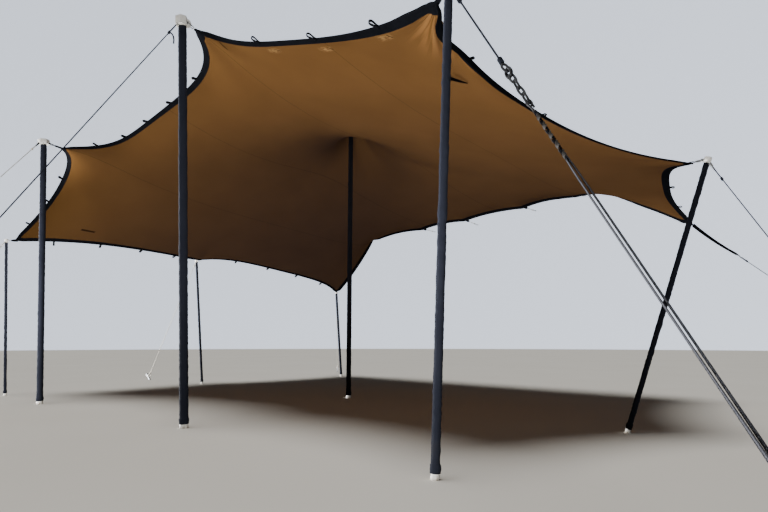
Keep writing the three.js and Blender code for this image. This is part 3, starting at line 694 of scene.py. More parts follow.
# Each side: the net's lines under its band, from the edge inwards, the edge's normals, its
# places in the net and its stops, and which way each stretch is lifted where two of them lap
from_right, from_rear_edge = net[::-1], net[:, ::-1]
SIDES = {
    "front": (net[:, :UNDER_BAND], normals[:, 0], fine_u, STOPS["front"], (1, -1, 1)),
    "right": (from_right[:UNDER_BAND].swapaxes(0, 1), normals[-1], fine_v, STOPS["right"], (-1, 1)),
    "rear": (from_rear_edge[:, :UNDER_BAND], normals[:, -1], fine_u, (0, COLUMNS), (-1,)),
    "left": (net[:UNDER_BAND].swapaxes(0, 1), normals[0], fine_v, STOPS["left"], (-1, 1)),
}
# Places of the loops, as shares of each stretch between two tips
LOOPS = {
    "front": [(0.07, 0.23, 0.46), (0.06, 0.19, 0.36, 0.54, 0.74), (0.20, 0.475, 0.755)],
    "right": [(0.14, 0.43), (0.6, 0.88)],
    "rear": [TIE_SHARES],
    "left": [(0.15, 0.37, 0.6, 0.82), (0.18, 0.39, 0.6, 0.81)],
}
# How far the loops of each stretch lean along the edge and turn over, in degrees, and their
# size
LOOP_TURNS = {
    "front": [(15, 0, 1), (52, 0, 0.9), (42, 0, 1.1)], "right": [(0, 0, 0.6), (0, 48, 0.7)],
    "rear": [(0, 0, 1)], "left": [(0, 0, 1), (0, 0, 1)],
}
LOOP_WIDTH = 0.030
LOOP_THICKNESS = 0.0075
# The loop's path outwards and up from the band's outer side, and back to it
LOOP_PATH = [
    (-0.030, -0.0072), (-0.004, -0.0076), (0.030, -0.011), (0.058, -0.012), (0.077, -0.003),
    (0.080, 0.011), (0.066, 0.021), (0.036, 0.018), (0.008, 0.0095), (-0.012, 0.0072),
    (-0.030, 0.0072),
]


def only(piece):
    """Selects one piece"""
    bpy.ops.object.select_all(action="DESELECT")
    piece.select_set(True)
    bpy.context.view_layer.objects.active = piece
    return piece


def joined(pieces):
    """Makes pieces one object"""
    bpy.ops.object.select_all(action="DESELECT")
    for piece in pieces:
        piece.select_set(True)
    bpy.context.view_layer.objects.active = pieces[0]
    bpy.ops.object.join()
    return pieces[0]


def put(piece, matrix):
    """Moves a piece's mesh to its place"""
    piece.data.transform(matrix)
    piece.data.update()
    return piece


def copied(piece, matrix):
    """A copy of a piece, with its own mesh, at another place"""
    only(piece)
    bpy.ops.object.duplicate()
    return put(bpy.context.object, matrix)


def laid_strap(points, from_edge, thickness):
    """A flat strap with soft edges, laid on rows of points across it. Its UV map runs along
    it and in from its nearer edge, in metres"""
    steps = np.linalg.norm(np.diff(points[:, points.shape[1] // 2], axis=0), axis=1)
    length = np.concatenate([[0], np.cumsum(steps)])[:, None]
    flat = np.stack(np.broadcast_arrays(length, from_edge), -1)
    piece = laid_grid(points, flat)
    finished(piece, "SOLIDIFY", thickness=thickness, offset=0)
    finished(piece, "BEVEL", width=thickness * 0.3, segments=2, angle_limit=1.0)
    bpy.ops.object.shade_smooth_by_angle(angle=0.9)
    return piece


def strap(path, across, left, right, thickness):
    """A strap laid along a path, with its left and right edges at given distances from it"""
    path, across = np.array(path, float), np.array(across, float)
    left, right = np.broadcast_to(left, len(path)), np.broadcast_to(right, len(path))
    share = np.array((0, 0.1, 0.3, 0.5, 0.7, 0.9, 1))
    offset = -left[:, None] + (left + right)[:, None] * share
    points = path[:, None] + across[:, None] * offset[..., None]
    from_edge = (left + right)[:, None] * np.minimum(share, 1 - share)
    return laid_strap(points, from_edge, thickness)


def edge_strap(lines, across, outside, within, drop, square, thickness):
    """A strap over the cloth's edge: its outer side stands out and may hang down, and its
    inner side lies on the net's lines"""
    out = np.array((1.0, 0.86, 0.5, 0.0))
    points = lines[:, :1] - across[:, None] * (outside[:, None] * out)[..., None]
    lying = np.array((0.12, 0.25, 0.4, 0.55, 0.7, 0.83, 0.93, 1.0))
    runs = np.linalg.norm(np.diff(lines, axis=1), axis=2).cumsum(axis=1)
    runs = np.concatenate([np.zeros((len(lines), 1)), runs], axis=1)
    inner = [
        np.stack([np.interp(width * lying, run, line[:, axis]) for axis in range(3)], -1)
        for width, run, line in zip(within, runs, lines)
    ]
    points = np.concatenate([points, inner], axis=1)
    reach = np.concatenate([-outside[:, None] * out, within[:, None] * lying], axis=1)
    from_edge = np.minimum(reach + outside[:, None], within[:, None] - reach)
    if drop.any():
        turned = np.array((1.0, 0.9, 0.55, 0.18))[:, None]
        hang = -(square + across * 0.25) * drop[:, None]
        points = np.concatenate([points[:, :1] + hang[:, None] * turned, points], axis=1)
        below = drop[:, None] * (1 - turned[:, 0])
        from_edge = np.concatenate([below, from_edge + below[:, -1:]], axis=1)
    return laid_strap(points, from_edge, thickness)


def placed(x, y, z, origin):
    """The matrix that lays a shape along three directions, at a point"""
    matrix = Matrix((x, y, z)).transposed().to_4x4()
    matrix.translation = Vector(origin)
    return matrix


def frame_at(side, place):
    """The matrix of a place of an edge: along it, outwards and up"""
    lines, top, places = SIDES[side][:3]
    line, inner = lines[:, 0], lines[:, 2]
    index = np.interp(place, places, np.arange(len(places)))

    def pick(values):
        low = min(int(index), len(values) - 2)
        return values[low] + (index - low) * (values[low + 1] - values[low])

    along = unit(pick(np.gradient(line, axis=0)))
    out = pick(line - inner)
    out = unit(out - along * (along @ out))
    up = np.cross(out, along)
    up = up * np.sign(up @ pick(top))
    return placed(np.cross(out, up), out, up, pick(line))


def eased(share, rows):
    """Values at given shares, which run smoothly from row to row"""
    rows = np.array(rows, float)
    n = np.clip(np.searchsorted(rows[:, 0], share, side="right") - 1, 0, len(rows) - 2)
    way = (share - rows[n, 0]) / (rows[n + 1, 0] - rows[n, 0])
    way = softened(way)[:, None]
    return (rows[n, 1:] + way * (rows[n + 1, 1:] - rows[n, 1:])).T


webbing = Finish("black_webbing")
along, from_edge, _ = webbing.place("UV")
row = (abs(from_edge - 0.005) < 0.0006) + (abs(from_edge - 0.011) < 0.0006)
stitch = row * ((along % 0.0042) < 0.0030)
worn = webbing.noise(webbing.solid_place(), 9.0, 5.0)
color = webbing.mix(worn, paint("08090b"), paint("131418"))
color = webbing.mix(stitch, color, paint("202126"))
ribs = along.wave(0.0024) * from_edge.wave(0.0036)
webbing_material = webbing.close(
    color, 0.72 + worn * 0.2, ribs * 0.3 + stitch * 0.8, 0.0006, Specular_IOR_Level=0.0
)

shape = smooth_path([(0, out, up) for out, up in LOOP_PATH], 33)
loop = strap(shape, [(1, 0, 0)] * len(shape), LOOP_WIDTH / 2, LOOP_WIDTH / 2, LOOP_THICKNESS)

bands = {}
for side, (lines, top, places, stops, lifts) in SIDES.items():
    made = []
    for stretch, (first, last) in enumerate(zip(stops, stops[1:])):
        rows = BAND_ROWS[side][stretch]
        inside_it = (places >= first) & (places <= last)
        path, inside, up = lines[inside_it, 0], lines[inside_it, 2], top[inside_it]
        along = unit(np.gradient(path, axis=0))
        across = inside - path
        across = unit(across - along * np.sum(across * along, axis=1, keepdims=True))
        square = np.cross(across, along)
        square *= np.sign(np.sum(square * up, axis=1, keepdims=True))
        length = np.concatenate([[0], np.cumsum(np.linalg.norm(np.diff(path, axis=0), axis=1))])
        outside, within, drop = eased(length / length[-1], rows) / 1000
        lifted = lines[inside_it] + (square * LAP_LIFT * lifts[stretch])[:, None]
        made.append(edge_strap(lifted, across, outside, within, drop, square, BAND_THICKNESS))
        for share in LOOPS[side][stretch]:
            at = frame_at(side, first + (last - first) * share)
            outer = eased(np.array([share]), rows)[0, 0] / 1000
            lean, over, size = LOOP_TURNS[side][stretch]
            at = at @ Matrix.Translation((0, outer, 0))
            at = at @ Matrix.Rotation(-math.radians(lean), 4, "Z")
            at = at @ Matrix.Rotation(math.radians(over), 4, "Y")
            made.append(copied(loop, at @ Matrix.Scale(size, 4)))
    bands[side] = made


# The poles
# White painted steel tubes, seven under the edge and one under the middle. Each stands on a
# moulded foot, and all but that foot is hidden by its sleeve.
EDGE_POLES = {
    "front_left": {
        "foot": (-4.790, -3.870), "top": (-4.930, -4.060, 2.840), "width": 0.050,
        "head": (0.058, 0.062), "stake": (-6.350, -5.480), "rope": 0.012,
    },
    "front_inner_left": {
        "foot": (-2.900, -3.880), "top": (-3.000, -4.140, 4.262), "width": 0.094,
        "head": (0.152, 0.086), "stake": (-3.000, -7.000), "rope": 0.014,
    },
    "front_inner_right": {
        "foot": (1.040, -3.600), "top": (1.000, -3.880, 4.910), "width": 0.100,
        "head": (0.132, 0.125), "stake": (1.000, -6.680), "rope": 0.014,
    },
    "front_right": {
        "foot": (4.580, -3.610), "top": (4.815, -3.660, 3.700), "width": 0.067,
        "head": (0.100, 0.110), "stake": (6.980, -4.700), "rope": 0.016,
    },
    "right_middle": {
        "foot": (4.870, -0.600), "top": (5.860, -0.600, 2.840), "width": 0.058,
        "head": (0.070, 0.056), "stake": (7.190, -0.600), "rope": 0.012,
    },
    "rear_left": {
        "foot": (-4.500, 4.100), "top": (-4.800, 4.150, 2.400), "width": 0.066,
        "head": (0.076, 0.064), "stake": (-6.200, 5.550), "rope": 0.012,
    },
    "left_middle": {
        "foot": (-4.780, -0.010), "top": (-4.970, -0.200, 2.880), "width": 0.055,
        "head": (0.066, 0.062), "stake": (-6.950, -0.200), "rope": 0.012,
    },
}
SLEEVE_THICKNESS = 0.004
FOOT = {"height": 0.044, "proud": 0.0035, "collar": 0.0015}
NEAR_GROUND = 0.012
# Pieces that rest on each other leave this gap
SEAT = 0.0003
CENTRE_WIDTH = 0.083
PAD_HEIGHT = 0.090
CENTRE_TOP = PEAK_HEIGHT - CLOTH_THICKNESS / 2 - SEAT - PAD_HEIGHT


def along_line(start, direction):
    """The matrix that lays a shape's Z axis along a line, with its X axis level"""
    z = Vector(direction).normalized()
    level = Vector((0, 0, 1)).cross(z)
    x = level.normalized() if level.length > 1e-4 else Vector((1, 0, 0))
    return placed(x, z.cross(x), z, start)


def worked(piece, chosen, *steps):
    """Chooses faces of a piece by a test, and works on them in edit mode"""
    only(piece)
    bpy.ops.object.mode_set(mode="EDIT")
    bpy.ops.mesh.select_mode(type="FACE")
    bpy.ops.mesh.select_all(action="DESELECT")
    bpy.ops.object.mode_set(mode="OBJECT")
    for face in piece.data.polygons:
        face.select = chosen(face)
    bpy.ops.object.mode_set(mode="EDIT")
    for operator, settings in steps:
        operator(**settings)
    bpy.ops.object.mode_set(mode="OBJECT")
    return piece


def fattened(amount):
    """The step that pushes chosen faces out along their normals, with new sides"""
    settings = {"TRANSFORM_OT_shrink_fatten": {"value": amount}}
    return bpy.ops.mesh.extrude_region_shrink_fatten, settings


def cut_across(piece, *heights):
    """Cuts edges round an upright piece"""
    only(piece)
    bpy.ops.object.mode_set(mode="EDIT")
    for height in heights:
        bpy.ops.mesh.select_all(action="SELECT")
        bpy.ops.mesh.bisect(plane_co=(0, 0, height), plane_no=(0, 0, 1))
    bpy.ops.object.mode_set(mode="OBJECT")
    return piece


def upright(vertices, radius, height):
    """A cylinder that stands on z = 0"""
    piece = added(
        bpy.ops.mesh.primitive_cylinder_add, vertices=vertices, radius=radius, depth=height
    )
    return put(piece, Matrix.Translation((0, 0, height / 2)))


def pole(width, length):
    """A tube on its moulded foot, standing on z = 0"""
    piece = upright(32, width / 2 - SLEEVE_THICKNESS - SEAT, length)
    top = FOOT["height"]
    cut_across(piece, top * 0.72, top)

    def on_foot(face):
        return abs(face.normal.z) < 0.5 and face.center.z < top * 0.5

    worked(piece, on_foot, fattened(FOOT["proud"]))
    worked(piece, lambda face: abs(face.center.z - top * 0.86) < 0.003, fattened(FOOT["collar"]))
    finished(piece, "BEVEL", width=0.0012, segments=2, angle_limit=0.6)
    bpy.ops.object.shade_smooth_by_angle(angle=0.6)
    return piece


def stood_on_ground(piece, axis):
    """Slides the lowest points of a leaning piece along it until they lie on the ground"""
    for point in piece.data.vertices:
        if point.co.z < NEAR_GROUND:
            point.co -= axis * (point.co.z / axis.z)
    piece.data.update()


painted = Finish("white_painted_tube")
x, y, z = painted.place("Object")
scuff = painted.noise(painted.point(x, y, z * 0.3), 22.0, 6.0)
grain = painted.noise(painted.point(x, y, z), 420.0, 2.0)
soil = (1 - painted.step(z, 0.0, 0.045)) * painted.step(scuff, 0.35, 0.7)
color = painted.mix(painted.step(scuff, 0.52, 0.7) * 0.5, paint("e9e7e1"), paint("b5b1a7"))
color = painted.mix(soil, color, paint("8b7d66"))
painted_material = painted.close(color, 0.42 + scuff * 0.25, grain, 0.0003)

# Each pole: foot, axis and length up to its head
axes = {}
for name, facts in EDGE_POLES.items():
    foot, top = Vector((*facts["foot"], 0)), Vector(facts["top"])
    axis = (top - foot).normalized()
    length = (top - foot).length - facts["head"][1]
    axes[name] = (foot, axis, length)
    tube = put(pole(facts["width"], length - SEAT), along_line(foot, axis))
    stood_on_ground(tube, axis)
    dress(tube, f"{name}_tube", painted_material, "tube", f"{name}_pole")
tube = pole(CENTRE_WIDTH, CENTRE_TOP - SEAT)
dress(tube, "centre_tube", painted_material, "tube", "centre_pole")


# The sleeves
# Each tube is dressed in a sleeve of coarse dark cloth, closed by one long flat seam and
# drawn in at its ends by a cord. It has slipped a little and lies in shallow rings.
SLEEVE_FOOT = 0.046
SLEEVE_TOP_GAP = 0.012
RING_STEP = 0.011
SLEEVE_SIDES = 28
CUFF = {"height": 0.062, "proud": 0.0050}
SEAM = {"half_turn": 0.22, "proud": 0.0011}
CORD = {"in": 0.0016, "from_end": 0.0128, "width": 0.008}
# The cloth's own thickness, its room for waves, and how near the tube it may come
SLEEVE_CLOTH, SLEEVE_ROOM, SLEEVE_TIGHT = 0.0014, 0.0012, 0.0016
# The lengths and heights of its waves, and how often a wave winds round it
WRINKLES = [(0.045, 0.00045), (0.085, 0.0007), (0.19, 0.0009), (0.6, 0.0007)]
WINDINGS = (0, 1, -2, 3)
# Heights and depths of the deeper rings where the cloth has slipped
SLIPPED = {
    "front_right": [(0.070, 0.020, 0.004), (1.70, 0.05, 0.003), (1.82, 0.04, -0.002),
                    (1.91, 0.05, 0.003), (2.40, 0.04, 0.003)],
    "front_inner_right": [(0.10, 0.03, 0.003), (3.10, 0.05, 0.002)],
    "front_inner_left": [(0.09, 0.03, 0.003), (1.40, 0.06, 0.003)],
    "right_middle": [(0.08, 0.02, 0.003), (1.20, 0.05, 0.002)],
    "centre": [(0.09, 0.03, 0.003), (2.20, 0.05, 0.002)],
}


def merged(piece, closed):
    """Merges a piece's doubled points, may close its ends, and turns its faces outwards"""
    only(piece)
    bpy.ops.object.mode_set(mode="EDIT")
    bpy.ops.mesh.select_all(action="SELECT")
    bpy.ops.mesh.remove_doubles(threshold=1e-6)
    if closed:
        bpy.ops.mesh.fill_holes(sides=0)
    bpy.ops.mesh.normals_make_consistent(inside=False)
    bpy.ops.object.mode_set(mode="OBJECT")
    return piece


def sleeve(width, low, high, seed, slipped):
    """A loose cloth tube round the Z axis, between two heights"""
    dice = np.random.default_rng(seed)
    rings = max(int((high - low) / RING_STEP), 8)
    z = np.linspace(low, high, rings + 1)[:, None]
    turn = np.linspace(0, 2 * np.pi, SLEEVE_SIDES + 1)[None, :]
    radius = width / 2 - SLEEVE_ROOM + 0 * z + 0 * turn
    for length, high_by in WRINKLES:
        for twist in WINDINGS:
            phase, fade, drift = dice.uniform(0, 2 * np.pi, 3)
            patch = 0.5 + 0.5 * np.sin(2 * np.pi * z / (length * 7.3) + fade)
            wave = np.sin(2 * np.pi * z / length * (1 + 0.13 * drift) + twist * turn + phase)
            radius = radius + high_by * patch * wave
    for at, spread, deep in slipped:
        ring = np.exp(-(((z - at) / spread) ** 2))
        radius = radius + deep * ring * (0.8 + 0.2 * np.cos(turn + at))
    seam = np.abs((turn + np.pi) % (2 * np.pi) - np.pi)
    radius = radius + SEAM["proud"] * (np.abs(seam - np.pi) < SEAM["half_turn"])
    radius = radius + CUFF["proud"] * (z < low + CUFF["height"])
    for end in (low, high):
        from_cord = (z - end - CORD["from_end"]) / CORD["width"]
        radius = radius - CORD["in"] * np.exp(-(from_cord**2))
    radius = np.maximum(radius, width / 2 - SLEEVE_THICKNESS + SLEEVE_TIGHT)
    points = np.stack([radius * np.cos(turn), radius * np.sin(turn), z + 0 * turn], -1)
    flat = np.stack([turn * width / 2 + 0 * z, z + 0 * turn], -1)
    piece = merged(laid_grid(points, flat), closed=False)
    finished(piece, "SOLIDIFY", thickness=SLEEVE_CLOTH, offset=-1)
    bpy.ops.object.shade_smooth()
    return piece


coarse_cloth = Finish("dark_sleeve_cloth")
around, up, _ = coarse_cloth.place("UV")
spot = coarse_cloth.solid_place()
faded = coarse_cloth.noise(spot, 3.0, 5.0)
fleck = coarse_cloth.noise(spot, 260.0, 2.0)
weave = abs(around.wave(0.0026) + up.wave(0.0026))
color = coarse_cloth.mix(faded * 0.6 + fleck * 0.4, paint("1d202a"), paint("343743"))
dust = coarse_cloth.step(faded, 0.55, 0.75) * (1 - coarse_cloth.step(up, 0.1, 0.9))
color = coarse_cloth.mix(dust * 0.12, color, paint("6f6a60"))
# Painted shade: the sleeve is painted darker towards its foot
color = coarse_cloth.mix((1 - coarse_cloth.step(up, 0.3, 2.2)) * 0.5, color, paint("090a10"))
sleeve_material = coarse_cloth.close(
    color, 0.86 + fleck * 0.1, weave * 0.5 + fleck * 0.4, 0.0005, Specular_IOR_Level=0.08
)

for seed, (name, (foot, axis, length)) in enumerate(axes.items()):
    width, high = EDGE_POLES[name]["width"], length - SLEEVE_TOP_GAP
    cover = sleeve(width, SLEEVE_FOOT, high, seed, SLIPPED.get(name, []))
    put(cover, along_line(foot, axis))
    dress(cover, f"{name}_cover", sleeve_material, "sleeve", f"{name}_sleeve")
cover = sleeve(CENTRE_WIDTH, SLEEVE_FOOT, CENTRE_TOP - SLEEVE_TOP_GAP, 40, SLIPPED["centre"])
dress(cover, "centre_cover", sleeve_material, "sleeve", "centre_sleeve")
for name in ("centre_cover", "right_middle_cover"):
    leave_unlit(bpy.data.objects[name])


# The heads and their shackles
# A moulded cap of white plastic sits on each edge pole. A thick eye on it holds the tip of
# the cloth by its webbing tab and a thin one holds the guy, each by a steel shackle.
LUG_PAST_HEAD = 0.026
LUG_SHARE = 0.42
TIP_LUG = {"thin": 0.014, "thick": 0.022}
GUY_LUG = {"width": 2.2, "thickness": 0.012}
# Half of a shackle's bow, as shares of its length and of its half width
SHACKLE_BOW = [(0, -1.0), (0.30, -1.18), (0.62, -1.0), (0.90, -0.52), (1.0, 0)]
# Each step of a cap's dome: inwards as a share of its width, and up as a share of its height
DOME = [(0.10, 0.09), (0.13, 0.04), (0.10, 0.008)]


def welded(piece):
    """Merges a piece's doubled points, closes it and rounds all but its sharp edges"""
    merged(piece, closed=True)
    bpy.ops.object.shade_smooth_by_angle(angle=0.7)
    return piece


def drawn_curve(lines, closed, kind, **settings):
    """A curve through given lines of points, made a mesh"""
    curve = added(bpy.ops.curve.primitive_bezier_curve_add).data
    curve.splines.clear()
    for key, value in settings.items():
        setattr(curve, key, value)
    for line in lines:
        spline = curve.splines.new(kind)
        spline.use_cyclic_u = closed
        if kind == "BEZIER":
            spline.bezier_points.add(len(line) - 1)
            for knot, place in zip(spline.bezier_points, line):
                knot.co = place
                knot.handle_left_type = knot.handle_right_type = "AUTO"
        else:
            spline.points.add(len(line) - 1)
            for knot, place in zip(spline.points, line):
                knot.co = (*place, 1)
    bpy.context.view_layer.update()
    bpy.ops.object.convert(target="MESH")
    return welded(bpy.context.object)


def bent_rod(points, radius, closed=False):
    """A round rod bent smoothly through points"""
    return drawn_curve(
        [points], closed, "BEZIER", dimensions="3D", bevel_depth=radius, bevel_resolution=3,
        resolution_u=6, use_fill_caps=True,
    )


def arc(x, y, radius, first, last, count):
    """Points of a circle round x, y, between two angles in degrees"""
    turns = np.radians(np.linspace(first, last, count))
    return [(x + radius * math.cos(t), y + radius * math.sin(t), 0) for t in turns]


def eye_plate(reach, width, thickness, hole):
    """A plate along X from the origin, with a rounded end that is drilled through Z"""
    centre = reach - width / 2
    outline = [(0, -width / 2, 0), *arc(centre, 0, width / 2, -90, 90, 13), (0, width / 2, 0)]
    soft = min(0.0025, thickness * 0.2)
    return drawn_curve(
        [outline, arc(centre, 0, hole, 0, 345, 24)], True, "POLY", dimensions="2D",
        fill_mode="BOTH", extrude=thickness / 2 - soft, bevel_depth=soft, bevel_resolution=2,
    )


def shackle(rod, length, gap):
    """A shackle along X: a bow of steel rod closed by a pin that lies along Z"""
    bow = [(length * along, 0, (gap + rod) * aside) for along, aside in SHACKLE_BOW]
    bow = bow + [(x, 0, -z) for x, _, z in bow[-2::-1]]
    across = gap + 2.6 * rod
    pin = bent_rod([(0, 0, -across), (0, 0, 0), (0, 0, across)], rod * 1.1)
    ends = [
        bent_rod([(0, 0, s * (gap - rod * 0.2)), (0, 0, s * (gap + rod * 2.1))], rod * 1.9)
        for s in (-1, 1)
    ]
    return joined([bent_rod(bow, rod), pin, *ends])


def cap(width, height, neck, flats):
    """A moulded cap that stands on z = 0, with flats round it and a socket under it"""
    piece = upright(flats, width / 2 / math.cos(math.pi / flats) * 0.985, height * 0.86)
    dome = []
    for inwards, up in DOME:
        dome.append((bpy.ops.mesh.inset, {"thickness": width * inwards}))
        dome.append((bpy.ops.transform.translate, {"value": (0, 0, height * up)}))
    worked(piece, lambda face: face.normal.z > 0.9, *dome)
    socket = {"TRANSFORM_OT_translate": {"value": (0, 0, height * 0.3)}}
    worked(
        piece, lambda face: face.normal.z < -0.9,
        (bpy.ops.mesh.inset, {"thickness": max(width / 2 - neck - 0.003, 0.002)}),
        (bpy.ops.mesh.extrude_region_move, socket),
    )
    cut_across(piece, height * 0.10, height * 0.17)

    def on_collar(face):
        middle = abs(face.center.z - height * 0.135) < height * 0.02
        return middle and face.center.xy.length > width * 0.4

    worked(piece, on_collar, fattened(-width * 0.018))
    finished(piece, "BEVEL", width=width * 0.022, segments=2, angle_limit=0.6)
    bpy.ops.object.shade_smooth_by_angle(angle=0.40)
    return piece


plastic = Finish("white_moulded_plastic")
spot = plastic.solid_place()
stain = plastic.noise(spot, 14.0, 6.0)
pores = plastic.noise(spot, 900.0, 2.0)
color = plastic.mix(plastic.step(stain, 0.42, 0.74), paint("fdfcf8"), paint("eceae1"))
plastic_material = plastic.close(color, 0.38 + stain * 0.25, pores, 0.0002, Coat_Weight=0.08)

galvanised = Finish("worn_galvanised_steel")
spot = galvanised.solid_place()
spangle = galvanised.noise(spot, 160.0, 3.0)
rubbed = galvanised.noise(spot, 30.0, 5.0)
color = galvanised.mix(spangle, paint("6f7276"), paint("a9abad"))
color = galvanised.mix(galvanised.step(rubbed, 0.55, 0.7) * 0.6, color, paint("5d5145"))
steel_material = galvanised.close(color, 0.35 + rubbed * 0.3, spangle, 0.0003, Metallic=0.85)

blackened = Finish("blackened_steel")
rubbed = blackened.noise(blackened.solid_place(), 70.0, 5.0)
color = blackened.mix(blackened.step(rubbed, 0.56, 0.72), paint("121317"), paint("4a4c51"))
black_steel_material = blackened.close(color, 0.45 + rubbed * 0.2, rubbed, 0.0004, Metallic=0.6)


def flat_along(start, x, near_y):
    """The matrix that lays X along a line and Y as near as it can to a direction"""
    z = x.cross(near_y).normalized()
    return placed(x, z.cross(x), z, start)


STAKE_WIDTH = 0.034
GUY_UP_STAKE = 0.110


def guy_line(start, ground):
    """The way from a point to the rope's place on its stake, the stake's lean and the length"""
    ground = Vector((*ground, 0))
    out = Vector((ground.x - start.x, ground.y - start.y, 0)).normalized()
    end = ground.copy()
    for _ in range(8):
        way = (end - start).normalized()
        lean = (Vector((0, 0, way.dot(out))) - out * way.z).normalized()
        end = ground + lean * GUY_UP_STAKE
    return (end - start).normalized(), lean, (end - start).length


TAB_ROOT = 0.055


def tab(reach, width, end_width):
    """A webbing tab that is folded round a shackle: it runs along Y from inside the tip"""
    path = [(0, -TAB_ROOT, -0.0052), (0, 0, -0.0055), (0, reach * 0.45, -0.0065),
            (0, reach - 0.008, -0.0060), (0, reach, 0), (0, reach - 0.008, 0.0060),
            (0, reach * 0.45, 0.0065), (0, 0, 0.0055), (0, -TAB_ROOT, 0.0052)]
    points = smooth_path(path, 41)
    pinch = softened(ramp(points[:, 1], 0, reach))
    half = (width + (end_width - width) * pinch) / 2
    return strap(points, [(1, 0, 0)] * len(points), half, half, 0.003)


# The side whose band each tip's tab is sewn to
TIP_SIDES = {
    "front_left": "front", "front_inner_left": "front", "front_inner_right": "front",
    "front_right": "front", "right_middle": "right", "rear_right": "right",
    "rear_left": "rear", "left_middle": "left",
}


def add_tip_tab(name, towards, reach, width, end_width):
    """Adds a tip's tab to its band, level with the cloth there"""
    lines, top = SIDES[TIP_SIDES[name]][:2]
    line = lines[:, 0]
    nearest = np.linalg.norm(line - np.array(TIPS[name]), axis=1).argmin()
    inner = min(max(nearest, 3), len(line) - 4)
    x = towards.cross(Vector(top[inner])).normalized()
    place = placed(x, towards, x.cross(towards), TIPS[name])
    bands[TIP_SIDES[name]].append(put(tab(reach, width, end_width), place))


# The guy's eye stands a little off the middle of these heads
GUY_ASIDE = {
    "front_right": (0.022, 0.020, 0), "front_inner_left": (-0.020, -0.020, 0.025),
    "front_inner_right": (-0.010, -0.010, 0.028), "right_middle": (0, 0, -0.022),
}
# The rod, length and gap of a shackle
SHACKLE = (0.004, 0.034, 0.009)
SHACKLES = {
    "front_inner_left": (0.0095, 0.060, 0.010), "front_inner_right": (0.0060, 0.055, 0.012),
    "right_middle": (0.0075, 0.062, 0.020),
}
# One head's eye is tall and level: its height, how far back the head stands, and how low it is
TALL_EYE = {"front_inner_right": (0.115, 0.014, 0.006)}
guys, eyes_from = {}, {}
for name, facts in EDGE_POLES.items():
    foot, axis, length = axes[name]
    width, height = facts["head"]
    big = width > 0.12
    middle = foot + axis * (length + height / 2)
    to_tip = (Vector(TIPS[name]) - middle).normalized()
    hung = middle + Vector(GUY_ASIDE.get(name, (0, 0, 0)))
    way, lean, far = guy_line(hung, facts["stake"])
    guys[name] = (hung, way, lean, far)
    reach = width / 2 + LUG_PAST_HEAD
    rod, bow, gap = SHACKLES.get(name, SHACKLE)
    tall, back, lower = TALL_EYE.get(name, (height * LUG_SHARE, 0, 0))
    lug_way, tip_reach = to_tip, reach
    if name in TALL_EYE:
        lug_way = (to_tip - axis * to_tip.dot(axis)).normalized()
        tip_reach = reach + tall * 0.18
    body = cap(width, height, facts["width"] / 2, 6 if big else 24)
    put(body, along_line(foot + axis * length - lug_way * back, axis))
    eye_at = middle - axis * lower
    tip_eye = eye_plate(tip_reach, tall, TIP_LUG["thick" if big else "thin"], rod * 1.9)
    put(tip_eye, flat_along(eye_at, lug_way, axis))
    guy_lug = facts["rope"] * GUY_LUG["width"]
    guy_eye = eye_plate(reach, guy_lug, GUY_LUG["thickness"], rod * 1.4)
    put(guy_eye, flat_along(hung, way, axis))
    moulded = [coated(piece, plastic_material) for piece in (body, tip_eye, guy_eye)]

    guy_hole = reach - guy_lug / 2
    eyes_from[name] = guy_hole + bow - rod - facts["rope"] * 0.45
    guy_ring = shackle(rod, bow, gap)
    put(guy_ring, flat_along(hung + way * guy_hole, way, axis))
    tip_bow = bow + tall / 2 - 0.006
    tip_ring = shackle(min(rod, 0.0070), tip_bow, 0.015 if big else 0.010)
    hole_at = eye_at + lug_way * (tip_reach - tall / 2)
    pull = (Vector(TIPS[name]) - hole_at).normalized()
    put(tip_ring, flat_along(hole_at, pull, axis))
    look = black_steel_material if name == "front_inner_left" else steel_material
    rings = [coated(piece, look) for piece in (tip_ring, guy_ring)]
    dress(joined(moulded + rings), f"{name}_cap", None, "head_plastic", f"{name}_head")

    to_ring = hole_at + pull * (tip_bow + 0.004) - Vector(TIPS[name])
    add_tip_tab(name, to_ring.normalized(), to_ring.length, 0.046, 0.026)

# The corner without a pole has its tab in line with its strap and rope
FREE_STAKE = (7.600, 5.000)
free_tip = Vector(TIPS["rear_right"])
free_way, free_lean, free_far = guy_line(free_tip, FREE_STAKE)
add_tip_tab("rear_right", free_way, 0.085, 0.050, 0.040)

# A small pointed flap hangs from the underside near the front right corner
FLAP_PATH = [(4.14, -2.77, 3.499), (4.20, -2.70, 3.469), (4.28, -2.61, 3.429)]
FLAP_DROP = 0.042
hem = smooth_path(FLAP_PATH, 15)
low = 0.003 + FLAP_DROP * np.linspace(1, 0, 15) ** 0.7
bands["right"].append(strap(hem, [(0.2, 0.1, -0.97)] * len(hem), 0.004, low, 0.003))
for side, made in bands.items():
    bands[side] = joined(made)
    dress(bands[side], f"{side}_edge_band", webbing_material, "webbing", f"{side}_edge_webbing")


# The guys
# Three-strand rope runs from each head to its stake. It is tied with a whipped eye at each
# end, round the head's shackle and round the stake. One knot's free end hangs down.
FREE_END = [(0, 0), (0.030, 0.015), (0.052, 0.060), (0.056, 0.130)]
FREE_END_AT = "front_inner_right"
ROPE_LAY = 0.055
EYE_LENGTH = 0.075
LONG_EYES = {"front_inner_right": 0.140, "right_middle": 0.120}
# The lower knot's way from the stake, in widths of the rope
LOWER_KNOT = 8


